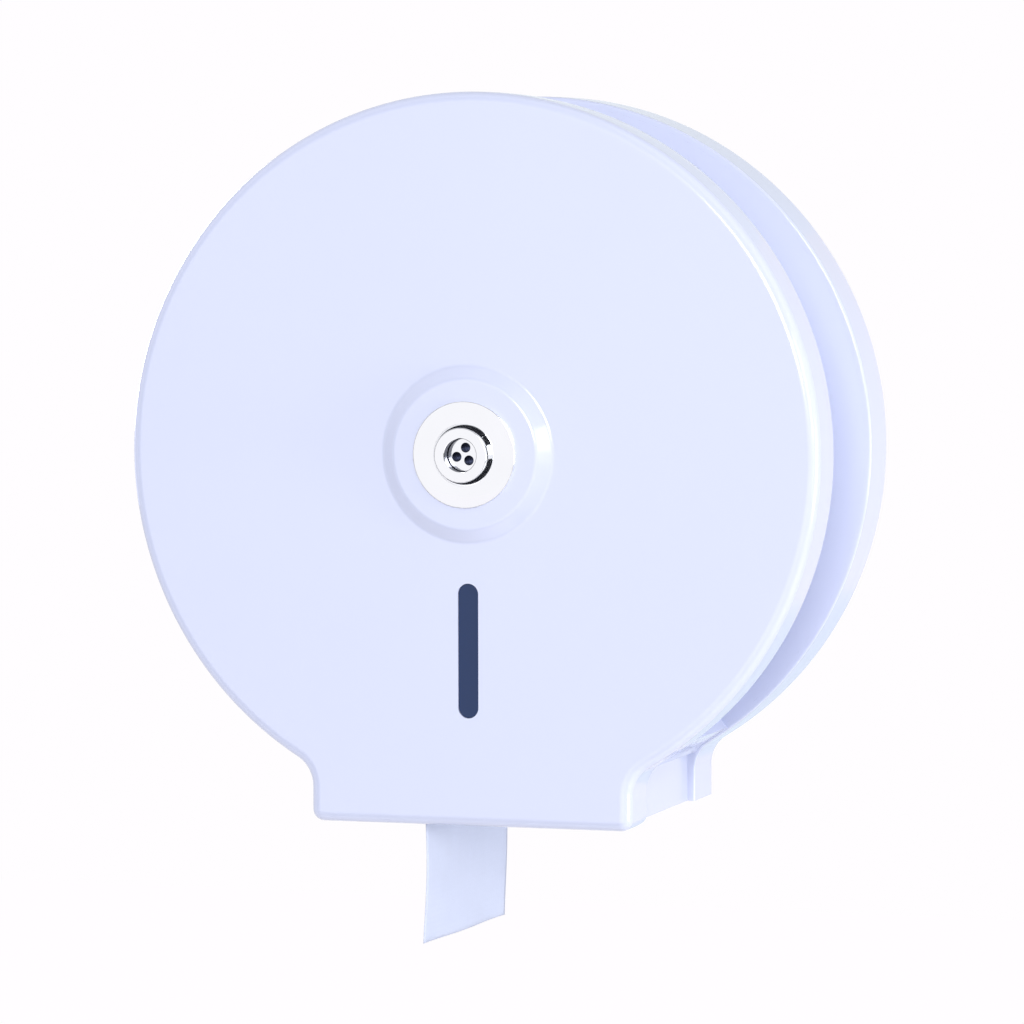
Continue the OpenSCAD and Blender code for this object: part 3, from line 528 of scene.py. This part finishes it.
screws, given, result = new_group(
    "Geometry", "pan_head_screws",
    [("Seats", "Geometry"), ("Head radius", "Float"), ("Head height", "Float"), ("Shank radius", "Float"),
     ("Shank length", "Float"), ("Direction", "Vector"), ("Finish", "Material")],
    [("Screws", "Geometry")])
screws.is_modifier = True
rim_share = 0.55
cross_length = 1.1
cross_width = 0.26
cross_lift = 0.95


def upwards(tree, height):
    """A vector straight up."""
    return add(tree, "ShaderNodeCombineXYZ", 0.0, 0.0, height)


def raised(tree, geometry, height, share):
    """Geometry lifted by a share of a height."""
    return add(tree, "GeometryNodeTransform", Geometry=geometry,
               Translation=upwards(tree, maths(tree, "MULTIPLY", height, share)))


def add_squares(tree, first, second):
    """The sum of two values' squares."""
    return maths(tree, "ADD", *(maths(tree, "MULTIPLY", value, value) for value in (first, second)))


def end_with(tree, geometry, finish, result):
    """Ends a geometry tree: its copies made real and given their finish."""
    real = add(tree, "GeometryNodeRealizeInstances", geometry)
    feed(tree, result, add(tree, "GeometryNodeSetMaterial", Geometry=real, Material=finish))


head_radius = given["Head radius"]
head_height = given["Head height"]
head = add(screws, "GeometryNodeMeshCylinder", Vertices=32, Side_Segments=1, Fill_Segments=6,
           Radius=head_radius, Depth=maths(screws, "MULTIPLY", head_height, rim_share))
x, y, z = add(screws, "ShaderNodeSeparateXYZ", add(screws, "GeometryNodeInputPosition")).outputs
share = maths(screws, "DIVIDE", add_squares(screws, x, y),
              maths(screws, "MULTIPLY", head_radius, head_radius))
rise = maths(screws, "MULTIPLY", maths(screws, "SUBTRACT", 1.0, share),
             maths(screws, "MULTIPLY", head_height, 1 - rim_share))
top = add(screws, "FunctionNodeCompare", z)
dome = add(screws, "GeometryNodeSetPosition", Geometry=head, Selection=top, Offset=upwards(screws, rise))
recess = add(screws, "GeometryNodeMeshBoolean", operation="DIFFERENCE",
             Mesh_1=raised(screws, dome, head_height, rim_share / 2))
long_side = maths(screws, "MULTIPLY", head_radius, cross_length)
short_side = maths(screws, "MULTIPLY", head_radius, cross_width)
for sides in ((long_side, short_side), (short_side, long_side)):
    bar = add(screws, "GeometryNodeMeshCube", Size=add(screws, "ShaderNodeCombineXYZ", *sides, head_height))
    feed(screws, recess.inputs, Mesh_2=raised(screws, bar, head_height, cross_lift))
shank = add(screws, "GeometryNodeMeshCylinder", Vertices=24, Radius=given["Shank radius"],
            Depth=given["Shank length"])
both = add(screws, "GeometryNodeJoinGeometry", recess)
feed(screws, both.inputs, raised(screws, shank, given["Shank length"], -0.5))
aim = add(screws, "FunctionNodeAlignRotationToVector", Vector=given["Direction"])
aim.axis = "Z"
copies = add(screws, "GeometryNodeInstanceOnPoints", Instance=both, Rotation=aim,
             Points=add(screws, "GeometryNodeMeshToPoints", Mesh=given["Seats"]))
end_with(screws, copies, given["Finish"], result)


def grown(name, points, tree, values, sharp=30):
    """Runs a geometry tree on a few points, and keeps the result as a plain mesh."""
    mesh = bpy.data.meshes.new(name)
    mesh.from_pydata(points, [], [])
    made = bpy.data.objects.new(name, mesh)
    scene.collection.objects.link(made)
    growth = made.modifiers.new("growth", "NODES")
    growth.node_group = tree
    sockets = {item.name: item.identifier for item in tree.interface.items_tree if item.in_out == "INPUT"}
    for label, value in values.items():
        growth[sockets[label]] = value
    plain(made)
    made.data.shade_smooth()
    made.data.set_sharp_from_angle(angle=math.radians(sharp))
    return made


def screw_set(name, body, seats, direction, head, shank):
    """Screws of one size on their seats, with heads that look along a direction."""
    made = grown(name + "_steel", seats, screws,
                 {"Head radius": head[0], "Head height": head[1], "Shank radius": shank[0],
                  "Shank length": shank[1], "Direction": direction, "Finish": zinc_steel})
    place_on(made, body, "zinc_steel", name)


def on_circle(radius, depth, turns):
    """Points round the disc's axis at one depth."""
    return [(x, -depth, z) for x, z in (polar(radius, turn) for turn in turns)]


forward = (0.0, -1.0, 0.0)
backward = (0.0, 1.0, 0.0)
rightward = (1.0, 0.0, 0.0)
shell_seat = 0.0105
screw_set("drum_screws", "base", on_circle(boss_ring, shell_seat, quarter_turns), forward,
          head=(0.0032, 0.0020), shank=(0.0016, 0.008))
spindle_ring = 0.033
spindle_seat = 0.0062
screw_set("spindle_screws", "base", on_circle(spindle_ring, spindle_seat, quarter_turns), forward,
          head=(0.0036, 0.0017), shank=(0.0017, 0.005))
strike_front = -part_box("strike_plate")[0].y
strike_ring = 0.019
screw_set("strike_screws", "base", on_circle(strike_ring, strike_front, (0, 180)), forward,
          head=(0.0025, 0.0009), shank=(0.00125, 0.008))
leaf_spots = (-0.016, 0.0, 0.016)
leaf_head = (0.0022, 0.0010)
leaf_shank = (0.00115, 0.0024)
leaf_low, leaf_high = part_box("hinge_base_screws")
base_seat = [((leaf_low.x + leaf_high.x) / 2, leaf_high.y - leaf_head[1], z) for z in leaf_spots]
screw_set("hinge_base_screws", "base", base_seat, backward, leaf_head, leaf_shank)
side_low, side_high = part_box("hinge_cover_screws")
side_seat = [(side_high.x - leaf_head[1], (side_low.y + side_high.y) / 2, z) for z in leaf_spots]
screw_set("hinge_cover_screws", "cover", side_seat, rightward, leaf_head, leaf_shank)
cam_head = (0.0045, 0.0018)
screw_set("cam_screw", "lock", [(0.0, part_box("cam_screw")[1].y - cam_head[1], 0.0)], backward, cam_head,
          shank=(0.0016, 0.0047))

# Tear blades: two strips of spring steel on posts at the sides of the throat, with teeth below the
# skirt's edge inside, so that the paper tears to either side. The hub's clip is of the same steel.


def finish_solids(material, *names):
    """Gives a finish to pieces that keep their solid's own mesh."""
    for name in names:
        nodes[name].material_slots[0].material = material


spring_steel = finish_with("spring_steel", metal,
                           {"Colour": (0.56, 0.57, 0.59, 1), "Roughness": 0.24,
                            "Brush direction": (40, 1, 40)},
                           Metallic=1.0)
finish_solids(spring_steel, "tear_blade_left", "tear_blade_right", "hub_clip")

# Spindle and hub: a fixed grey acetal spindle screwed to the tray, and a ribbed hub of the same
# plastic that turns on it with the roll, between a nylon washer and a spring clip.
grey_acetal = finish_with("grey_acetal", moulded,
                          {"Colour": (0.33, 0.35, 0.38, 1), "Tone drift": 0.03, "Roughness": 0.38,
                           "Gloss drift": 0.06, "Peel scale": 1500.0, "Peel depth": 0.000012},
                          IOR=1.48)
bearing_nylon = finish_with("bearing_nylon", moulded,
                            {"Colour": (0.78, 0.75, 0.66, 1), "Tone drift": 0.03, "Roughness": 0.42,
                             "Peel scale": 900.0, "Peel depth": 0.000008},
                            IOR=1.53, Subsurface_Weight=0.1, Subsurface_Scale=0.002)
finish_solids(grey_acetal, "spindle", "roll_hub")
finish_solids(bearing_nylon, "thrust_washer")

# Strike plate: a slotted steel disc on the spindle's end, behind which the lock's cam turns.
finish_solids(zinc_steel, "strike_plate")

# Roll core: a tube of spiral-wound board, with the seams of its strips showing outside and inside.
fibre, given, result = new_group(
    "Shader", "paper_fibre",
    [("Colour", "Color", (0.8, 0.8, 0.8, 1)), ("Fleck", "Float", 0.03), ("Fibre scale", "Float", 900.0)],
    [("Colour", "Color"), ("Roughness", "Float"), ("Height", "Float")])
strands = noise(fibre, Scale=given["Fibre scale"], Detail=6.0, Roughness=0.65)
clouds = noise(fibre, Scale=70.0, Detail=3.0)
speckle = drifting(fibre, given["Colour"], strands, given["Fleck"])
feed(fibre, result, Colour=scaled(fibre, speckle, spread(fibre, clouds, 0.985, 1.015)),
     Roughness=spread(fibre, clouds, 0.82, 0.94), Height=strands)


def paper_material(name, colour, fleck, fibre_scale, relief, depth, **sockets):
    """Paper or board: fibres, with a relief of the sheet or the winding on top."""
    material, tree, shader, surface = material_from(
        name, fibre, {"Colour": colour, "Fleck": fleck, "Fibre scale": fibre_scale})
    fine = add(tree, "ShaderNodeBump", Strength=0.6, Distance=0.00004, Height=surface["Height"])
    coarse = add(tree, "ShaderNodeBump", Strength=1.0, Distance=depth, Height=relief(tree), Normal=fine)
    feed(tree, shader, Base_Color=surface["Colour"], Roughness=surface["Roughness"], Normal=coarse,
         Specular_IOR_Level=0.15, **sockets)
    return material


def split_place(tree):
    """The X, Y and Z of a piece's own coordinates."""
    return add(tree, "ShaderNodeSeparateXYZ", add(tree, "ShaderNodeTexCoord").outputs["Object"]).outputs


def strip_seams(tree):
    """A groove that climbs round the tube, one turn for each strip."""
    strips_per_metre = 14.0
    groove_share = 0.02
    x, y, z = split_place(tree)
    turns = maths(tree, "DIVIDE", maths(tree, "ARCTAN2", z, x), 2 * math.pi)
    climbed = maths(tree, "ADD", maths(tree, "MULTIPLY", y, strips_per_metre), turns)
    return maths(tree, "GREATER_THAN", maths(tree, "FRACT", climbed), groove_share)


cardboard = paper_material("cardboard", (0.47, 0.36, 0.24, 1), 0.10, 700.0, strip_seams, 0.0003)
finish_solids(cardboard, "roll_core")

# Paper roll: one long strip of white tissue wound on the core. Its turns show as rings at the ends,
# each a little in or out, as a machine winds them.


def winding_rings(tree):
    """Fine rings round the disc's axis, many to each drawn turn."""
    ring_scale = 9000.0
    x, y, z = split_place(tree)
    out = maths(tree, "SQRT", add_squares(tree, x, z))
    return maths(tree, "SINE", maths(tree, "MULTIPLY", out, ring_scale))


tissue_end = paper_material("tissue_roll", (0.80, 0.83, 0.90, 1), 0.02, 1200.0, winding_rings, 0.00006,
                            Sheen_Weight=0.15)

winding, given, result = new_group(
    "Geometry", "wound_strip",
    [("Start", "Geometry"), ("Inner radius", "Float"), ("Outer radius", "Float"), ("Turns", "Float"),
     ("Strip width", "Float"), ("Strip thickness", "Float"), ("Wander", "Float"), ("Finish", "Material")],
    [("Roll", "Geometry")])
winding.is_modifier = True
spiral = add(winding, "GeometryNodeCurveSpiral", Resolution=72, Height=0.0, Rotations=given["Turns"],
             Start_Radius=given["Inner radius"], End_Radius=given["Outer radius"])
strip = add(winding, "GeometryNodeCurvePrimitiveQuadrilateral", Width=given["Strip thickness"],
            Height=given["Strip width"])
upright = add(winding, "GeometryNodeSetCurveNormal", Curve=spiral)
upright.mode = "Z_UP"
swept = add(winding, "GeometryNodeCurveToMesh", Curve=upright, Profile_Curve=strip, Fill_Caps=True)
flat_place = add(winding, "ShaderNodeVectorMath", add(winding, "GeometryNodeInputPosition"),
                 (1.0, 1.0, 0.0), operation="MULTIPLY")
length = add(winding, "ShaderNodeVectorMath", flat_place, operation="LENGTH")
ripple = add(winding, "ShaderNodeTexNoise", Scale=190.0, Detail=1.0)
ripple.noise_dimensions = "1D"
feed(winding, ripple.inputs, W=length.outputs["Value"])
sway = maths(winding, "MULTIPLY", maths(winding, "SUBTRACT", ripple, 0.5), given["Wander"])
wander = add(winding, "GeometryNodeSetPosition", Geometry=swept, Offset=upwards(winding, sway))
turned = add(winding, "GeometryNodeTransform", Geometry=wander,
             Rotation=add(winding, "ShaderNodeCombineXYZ", math.pi / 2, 0.0, 0.0))
end_with(winding, turned, given["Finish"], result)

roll_low, roll_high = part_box("paper_roll")
core_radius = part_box("roll_core")[1].x
roll_turns = 42.0
roll_radius = roll_high.x
turn_pitch = (roll_radius - core_radius) / (roll_turns + 1)
strip_gap = 0.00006
strip_wander = 0.0007
paper_width = roll_high.y - roll_low.y
paper_roll = grown("wound_tissue", [(0, 0, 0)], winding,
                   {"Inner radius": core_radius + turn_pitch / 2 + strip_gap,
                    "Outer radius": roll_radius - turn_pitch / 2, "Turns": roll_turns,
                    "Strip width": paper_width - strip_wander, "Strip thickness": turn_pitch - strip_gap,
                    "Wander": strip_wander, "Finish": tissue_end})
paper_roll.data.transform(Matrix.Translation((0, (roll_low.y + roll_high.y) / 2, 0)))
place_on(paper_roll, "roll", "tissue", "paper_roll")

# Hanging paper: the free end of the strip. It leaves the underside of the roll in a bend, hangs
# through the throat edge-on to the cover and ends in a straight tear below the skirt.


def embossing(tree):
    """Small raised diamonds along the strip, from its own map."""
    diamond_scale = 1250.0
    place = add(tree, "ShaderNodeUVMap")
    place.uv_map = "strip"
    split = add(tree, "ShaderNodeSeparateXYZ", place).outputs
    slants = [maths(tree, operation, split[0], split[1]) for operation in ("ADD", "SUBTRACT")]
    return maths(tree, "MULTIPLY", *(maths(tree, "SINE", maths(tree, "MULTIPLY", slant, diamond_scale))
                                     for slant in slants))


# The hanging sheet is coloured darker than the roll, though both are the same tissue: painted shade for the
# shade it hangs in below the skirt.
tissue_sheet_painted_shade = paper_material("tissue_sheet_painted_shade", (0.70, 0.745, 0.90, 1), 0.02, 1500.0, embossing, 0.00003,
                              Sheen_Weight=0.2)
tail_low, tail_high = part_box("paper_tail")
bend_radius = 0.030
peel_angle = 19.96
twist = math.radians(3.4)
ply = 0.0003
bend_centre = (-0.0515, -0.1418)
straight = bend_centre[1] - tail_low.z
bend = math.radians(90 - peel_angle) * (bend_radius + ply)
strip_length = bend + straight
rows = 60
columns = 40
settling = 0.1
waves = ((0.0010, 2.1, 3.4), (-0.0007, 7.3, -5.0))
bm = bmesh.new()
strip_map = bm.loops.layers.uv.new("strip")
front_edge = tail_low.y
rear_edge = tail_high.y
vertices = []
for i in range(rows + 1):
    along = strip_length * i / rows
    line = []
    for j in range(columns + 1):
        across = j / columns
        y = front_edge + (rear_edge - front_edge) * across
        if along < bend:
            angle = math.radians(90 - peel_angle) * (1 - along / bend)
            x = bend_centre[0] + (bend_radius + ply) * math.cos(angle)
            z = bend_centre[1] + (bend_radius + ply) * math.sin(angle)
            loose = 0.0
        else:
            x = bend_centre[0] + bend_radius + ply
            z = bend_centre[1] - (along - bend)
            loose = (along - bend) / straight
        settled = min(1.0, along / (bend + settling * straight))
        x += settled * math.tan(twist) * (y - (front_edge + rear_edge) / 2)
        x += loose * sum(height * math.sin(a * across + b * loose) for height, a, b in waves)
        line.append(bm.verts.new((x, y, z)))
    vertices.append(line)
for i in range(rows):
    for j in range(columns):
        spots = ((i, j), (i, j + 1), (i + 1, j + 1), (i + 1, j))
        face = bm.faces.new([vertices[a][b] for a, b in spots])
        for loop, (a, b) in zip(face.loops, spots):
            loop[strip_map].uv = (paper_width * b / columns, strip_length * a / rows)
hanging_paper = to_mesh("hanging_tissue", bm, tissue_sheet_painted_shade, 80)
body = hanging_paper.modifiers.new("two_plies", "SOLIDIFY")
body.thickness = ply
body.offset = 0.0
place_on(hanging_paper, "base", "tissue", "paper_tail")

# Hinge: two bent leaves of zinc-plated steel on one pin. One lies on the shell's front flange and
# the other on a flat pad inside the cover's band.
finish_solids(zinc_steel, "hinge_base_leaf", "hinge_cover_leaf", "hinge_pin")

# Front cover: one moulding of the glossy white plastic. A flat disc and its skirt turn back into a
# side band with rounded edges, and a low round boss in the middle carries the lock. Behind the lip
# the bottom is open for the paper.
cover_low, cover_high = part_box("front_cover")
face_depth = 0.122
band_rear = -cover_high.y
cover = {"radius": cover_high.x, "half": 0.071, "drop": -cover_low.z, "hollow": 0.014, "corner": 0.005}
edge_round = 0.005
back_round = 0.0009
lead_in = 0.0003
lead_length = 0.011
boss_foot = 0.0385
boss_height = 0.0045
stem_hole = 0.0096
stem_flat = 0.0086


def cover_ring(inset, depth):
    side = case_half(inset=inset, **cover)
    return side + mirrored(side, 1), depth


outline = cover_ring(0.0, 0.0)[0]
directions = [Vector(point).normalized() for point in outline]


def round_ring(radius, depth, flat=None):
    """A circle whose points lie along the outline's own rays; a flat cuts its sides."""
    points = []
    for way in directions:
        reach = radius
        if flat and abs(way[0]) * radius > flat:
            reach = flat / abs(way[0])
        points.append((way[0] * reach, way[1] * reach))
    return points, depth


flank_turn = math.radians(38)
flank_round = 0.00325
flank_top = boss_foot - 0.008


def boss_rings(inset, base):
    """The boss from its foot to its flat top: a hollow round, a straight flank, then an outer round."""
    rings = []
    steps = 6
    for i in range(steps + 1):
        t = flank_turn * i / steps
        rings.append(round_ring(boss_foot - (flank_round + inset) * math.sin(t),
                                base + flank_round - (flank_round + inset) * math.cos(t)))
    for i in range(steps + 1):
        t = flank_turn * (1 - i / steps)
        rings.append(round_ring(flank_top + (flank_round - inset) * math.sin(t),
                                base + boss_height - flank_round + (flank_round - inset) * math.cos(t)))
    return rings


quarter = [math.radians(90 * i / 10) for i in range(11)]
rings = [cover_ring(lead_in + back_round * (1 - math.sin(t)), band_rear + back_round * (1 - math.cos(t)))
         for t in quarter]
rings += [cover_ring(lead_in * (1 - i / 6) ** 2, band_rear + back_round + lead_length * i / 6)
          for i in range(1, 7)]
rings += [cover_ring(edge_round * (1 - math.cos(t)), face_depth - edge_round * (1 - math.sin(t)))
          for t in quarter]
rings += boss_rings(0.0, face_depth)
rings += [round_ring(stem_hole, face_depth + boss_height, stem_flat),
          round_ring(stem_hole, face_depth + boss_height - wall, stem_flat)]
rings += list(reversed(boss_rings(wall, face_depth)))
inner_round = edge_round - wall
rings += [cover_ring(wall + inner_round * (1 - math.cos(t)),
                     face_depth - wall - inner_round * (1 - math.sin(t))) for t in reversed(quarter)]
rings += [cover_ring(wall, band_rear)]
bm = bmesh.new()
loft(bm, rings, True, True)
front_cover = to_mesh("front_cover_moulding", bm, white_case)

slot_half = 0.0045
slot_reach = 0.0285
slot_height = -0.083
lip = 0.008
bm = bmesh.new()
slot_side = arc((0.0, slot_height + slot_reach - slot_half), slot_half, 0, 180, 24)
slot_side += arc((0.0, slot_height - slot_reach + slot_half), slot_half, 180, 360, 24)
prism(bm, slot_side, face_depth - 2 * wall, face_depth + wall)
block(bm, (wall - cover["half"], -face_depth + lip, -cover["drop"] - wall),
      (cover["half"] - wall, -band_rear + wall, -cover["drop"] / 2))
carve(front_cover, bm)
stop_angles = (-20, 20, 55, 90, 125, 160, 200)
stop_reach = 0.1455
stop_half = 0.001
stop_rear = 0.0983
embedded = cover["radius"] - wall / 2
pad_face = 0.147461
pad_half = 0.024
post_spots = [(x, slot_height + z) for x in (-0.0071, 0.0071) for z in (-0.0311, 0.0311)]
post_radius = 0.0012
post_head_radius = 1.8 * post_radius
post_head = (0.1166, 0.1174)
post_overlap = 0.0004
bm = bmesh.new()
for turn in stop_angles:
    block(bm, (stop_reach, edge_round - face_depth, -stop_half), (embedded, -stop_rear, stop_half), turn)
pad_turn = math.degrees(math.asin(pad_half / embedded))
pad_side = [(-pad_face, -pad_half), (-pad_face, pad_half)]
pad_side += arc((0.0, 0.0), embedded, 180 - pad_turn, 180 + pad_turn, 16)
prism(bm, pad_side, stop_rear, face_depth - wall / 2)
for x, z in post_spots:
    rod(bm, x, z, post_radius, post_head[0] + post_overlap, face_depth - wall / 2, 24)
    rod(bm, x, z, post_head_radius, *post_head, 24)
carve(front_cover, bm, "UNION")
ease(front_cover, 0.0003)
place_on(front_cover, "cover", "white_case", "front_cover")

# Level window: a smoked, see-through lens that fills the slot from behind, with a flange held by
# four moulded posts.
smoked_window = finish_with("smoked_window", moulded,
                            {"Colour": (0.014, 0.042, 0.135, 1), "Tone drift": 0.02, "Roughness": 0.09,
                             "Gloss drift": 0.02, "Peel depth": 0.000002},
                            IOR=1.46, Transmission_Weight=0.2)
finish_solids(smoked_window, "window_lens")

# Lock: a polished plate and a barrel through the boss, with a turning core that has three round key
# holes. A washer and a nut clamp it from inside, and a cam on the core's tail holds the cover shut.
polished_lock = finish_with("polished_lock", metal,
                            {"Colour": (0.93, 0.95, 0.975, 1), "Tone drift": 0.01, "Roughness": 0.08,
                             "Gloss drift": 0.02, "Brush depth": 0.0000004},
                            Metallic=1.0)
# Painted shade: the keyway and the core's key holes get a near-black metal that stands in for the shade
# falling inside them.
black_bore = finish_with("black_bore", metal,
                         {"Colour": (0.045, 0.052, 0.085, 1), "Roughness": 0.30, "Gloss drift": 0.05},
                         Metallic=1.0)


def lathe(bm, profile, closed=True, flat=None, segments=144):
    """Turns a profile of (radius, depth) about the disc's axis; a flat cuts both sides of the rings."""
    rings = []
    for radius, depth in profile:
        points = arc((0.0, 0.0), radius, 0, 360, segments)[:-1]
        if flat:
            points = [(max(-flat, min(flat, x)), z) for x, z in points]
        rings.append((points, depth))
    return loft(bm, rings, True, closed)


def corner(radius, depth, size, start, end):
    """Points of a small round in a profile, about a centre, between two angles in degrees."""
    return [(radius + size * math.cos(math.radians(start + (end - start) * i / 5)),
             depth + size * math.sin(math.radians(start + (end - start) * i / 5))) for i in range(6)]


plate_rear = boss_height + face_depth
plate_front = -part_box("lock_plate")[0].y
plate_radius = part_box("lock_plate")[1].x
plate_edge = 0.0004
hole_radius = 0.0097
bm = bmesh.new()
lathe(bm, [(hole_radius, plate_rear), (plate_radius - 0.0001, plate_rear),
           (plate_radius, plate_rear + 0.0001)]
      + corner(plate_radius - plate_edge, plate_front - plate_edge, plate_edge, 0, 90)
      + [(hole_radius, plate_front)])
lock_plate = to_mesh("polished_plate", bm, polished_lock, 40)
place_on(lock_plate, "cover", "polished_lock", "lock_plate")

barrel_front, barrel_rear = [-place.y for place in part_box("lock_barrel")]
foot_radius = 0.0132
foot_height = 0.0005
cone_radius = 0.0116
face_round = 0.0005
keyway_radius = 0.0071
keyway_floor = 0.1262
journal_radius = 0.0063
stem_radius = 0.0095
stem_half = 0.0085
bm = bmesh.new()
front_rings = ([(stem_radius, plate_front), (foot_radius - 0.0001, plate_front),
                (foot_radius, plate_front + 0.0001), (foot_radius, plate_front + foot_height)]
               + corner(cone_radius - face_round, barrel_front - face_round, face_round, 20, 90)
               + [(keyway_radius + 0.0002, barrel_front), (keyway_radius, barrel_front - 0.0002),
                  (keyway_radius, keyway_floor), (journal_radius, keyway_floor),
                  (journal_radius, barrel_rear)])
grid = lathe(bm, front_rings, False)
stem = lathe(bm, [(stem_radius, plate_front), (stem_radius, barrel_rear + 0.0003),
                  (stem_radius - 0.0003, barrel_rear)], False, stem_half)
for lower, upper in ((grid[0], stem[0]), (stem[-1], grid[-1])):
    for i in range(len(lower)):
        after = (i + 1) % len(lower)
        bm.faces.new((lower[i], lower[after], upper[after], upper[i]))
lock_barrel = to_mesh("polished_barrel", bm, polished_lock, 40)


def paint_bore_shade(made, reach, rear, front):
    """Paints shade on faces near the axis, between two depths: a near-black finish that stands in for the
    shade inside the keyway and key holes.
    """
    made.data.materials.append(black_bore)
    for face in made.data.polygons:
        if math.hypot(face.center.x, face.center.z) < reach and rear < -face.center.y < front:
            face.material_index = 1


paint_bore_shade(lock_barrel, keyway_radius + 0.00002, keyway_floor, math.inf)
mark_width = 0.00012
mark_depth = 0.00015
mark_length = 0.0018
mark_top = barrel_front - 0.0016
bm = bmesh.new()
block(bm, (-cone_radius, -barrel_front - mark_depth, -mark_width),
      (mark_length - cone_radius, -barrel_front + mark_depth, mark_width), 8)
block(bm, (cone_radius, -mark_top, -mark_width), (foot_radius, -plate_front - foot_height, mark_width), 40)
carve(lock_barrel, bm)
lock_barrel.data.set_sharp_from_angle(angle=math.radians(40))
place_on(lock_barrel, "cover", "polished_lock", "lock_barrel")

core_flange = 0.0069
core_front = -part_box("lock_core")[0].y
core_journal = 0.00625
square_front = 0.1179
square_rear = 0.1138
tang_rear = -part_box("lock_core")[1].y
pin_hole = 0.0021
pin_ring = 0.0032
pin_depth = 0.006
bm = bmesh.new()
grid = lathe(bm, [(core_journal, square_front), (core_journal, keyway_floor), (core_flange, keyway_floor),
                  (core_flange, core_front - 0.00015), (core_flange - 0.00015, core_front)], False)
bm.faces.new(grid[0])
bm.faces.new(grid[-1])
lock_core = to_mesh("turning_core", bm, polished_lock, 40)
bm = bmesh.new()
block(bm, (-0.004, -square_front - 0.0002, -0.004), (0.004, -square_rear, 0.004))
block(bm, (-0.00325, -square_rear - 0.0002, -0.00325), (0.00325, -tang_rear, 0.00325))
carve(lock_core, bm, "UNION")
bm = bmesh.new()
for turn in (75, 195, 315):
    rod(bm, *polar(pin_ring, turn), pin_hole, core_front - pin_depth, core_front + 0.001, 48)
carve(lock_core, bm)
paint_bore_shade(lock_core, core_journal - 0.0001, square_front + 0.0002, core_front - 0.0001)
lock_core.data.set_sharp_from_angle(angle=math.radians(40))
place_on(lock_core, "lock", "polished_lock", "lock_core")

finish_solids(zinc_steel, "lock_washer", "lock_nut", "lock_cam")

bpy.context.view_layer.update()
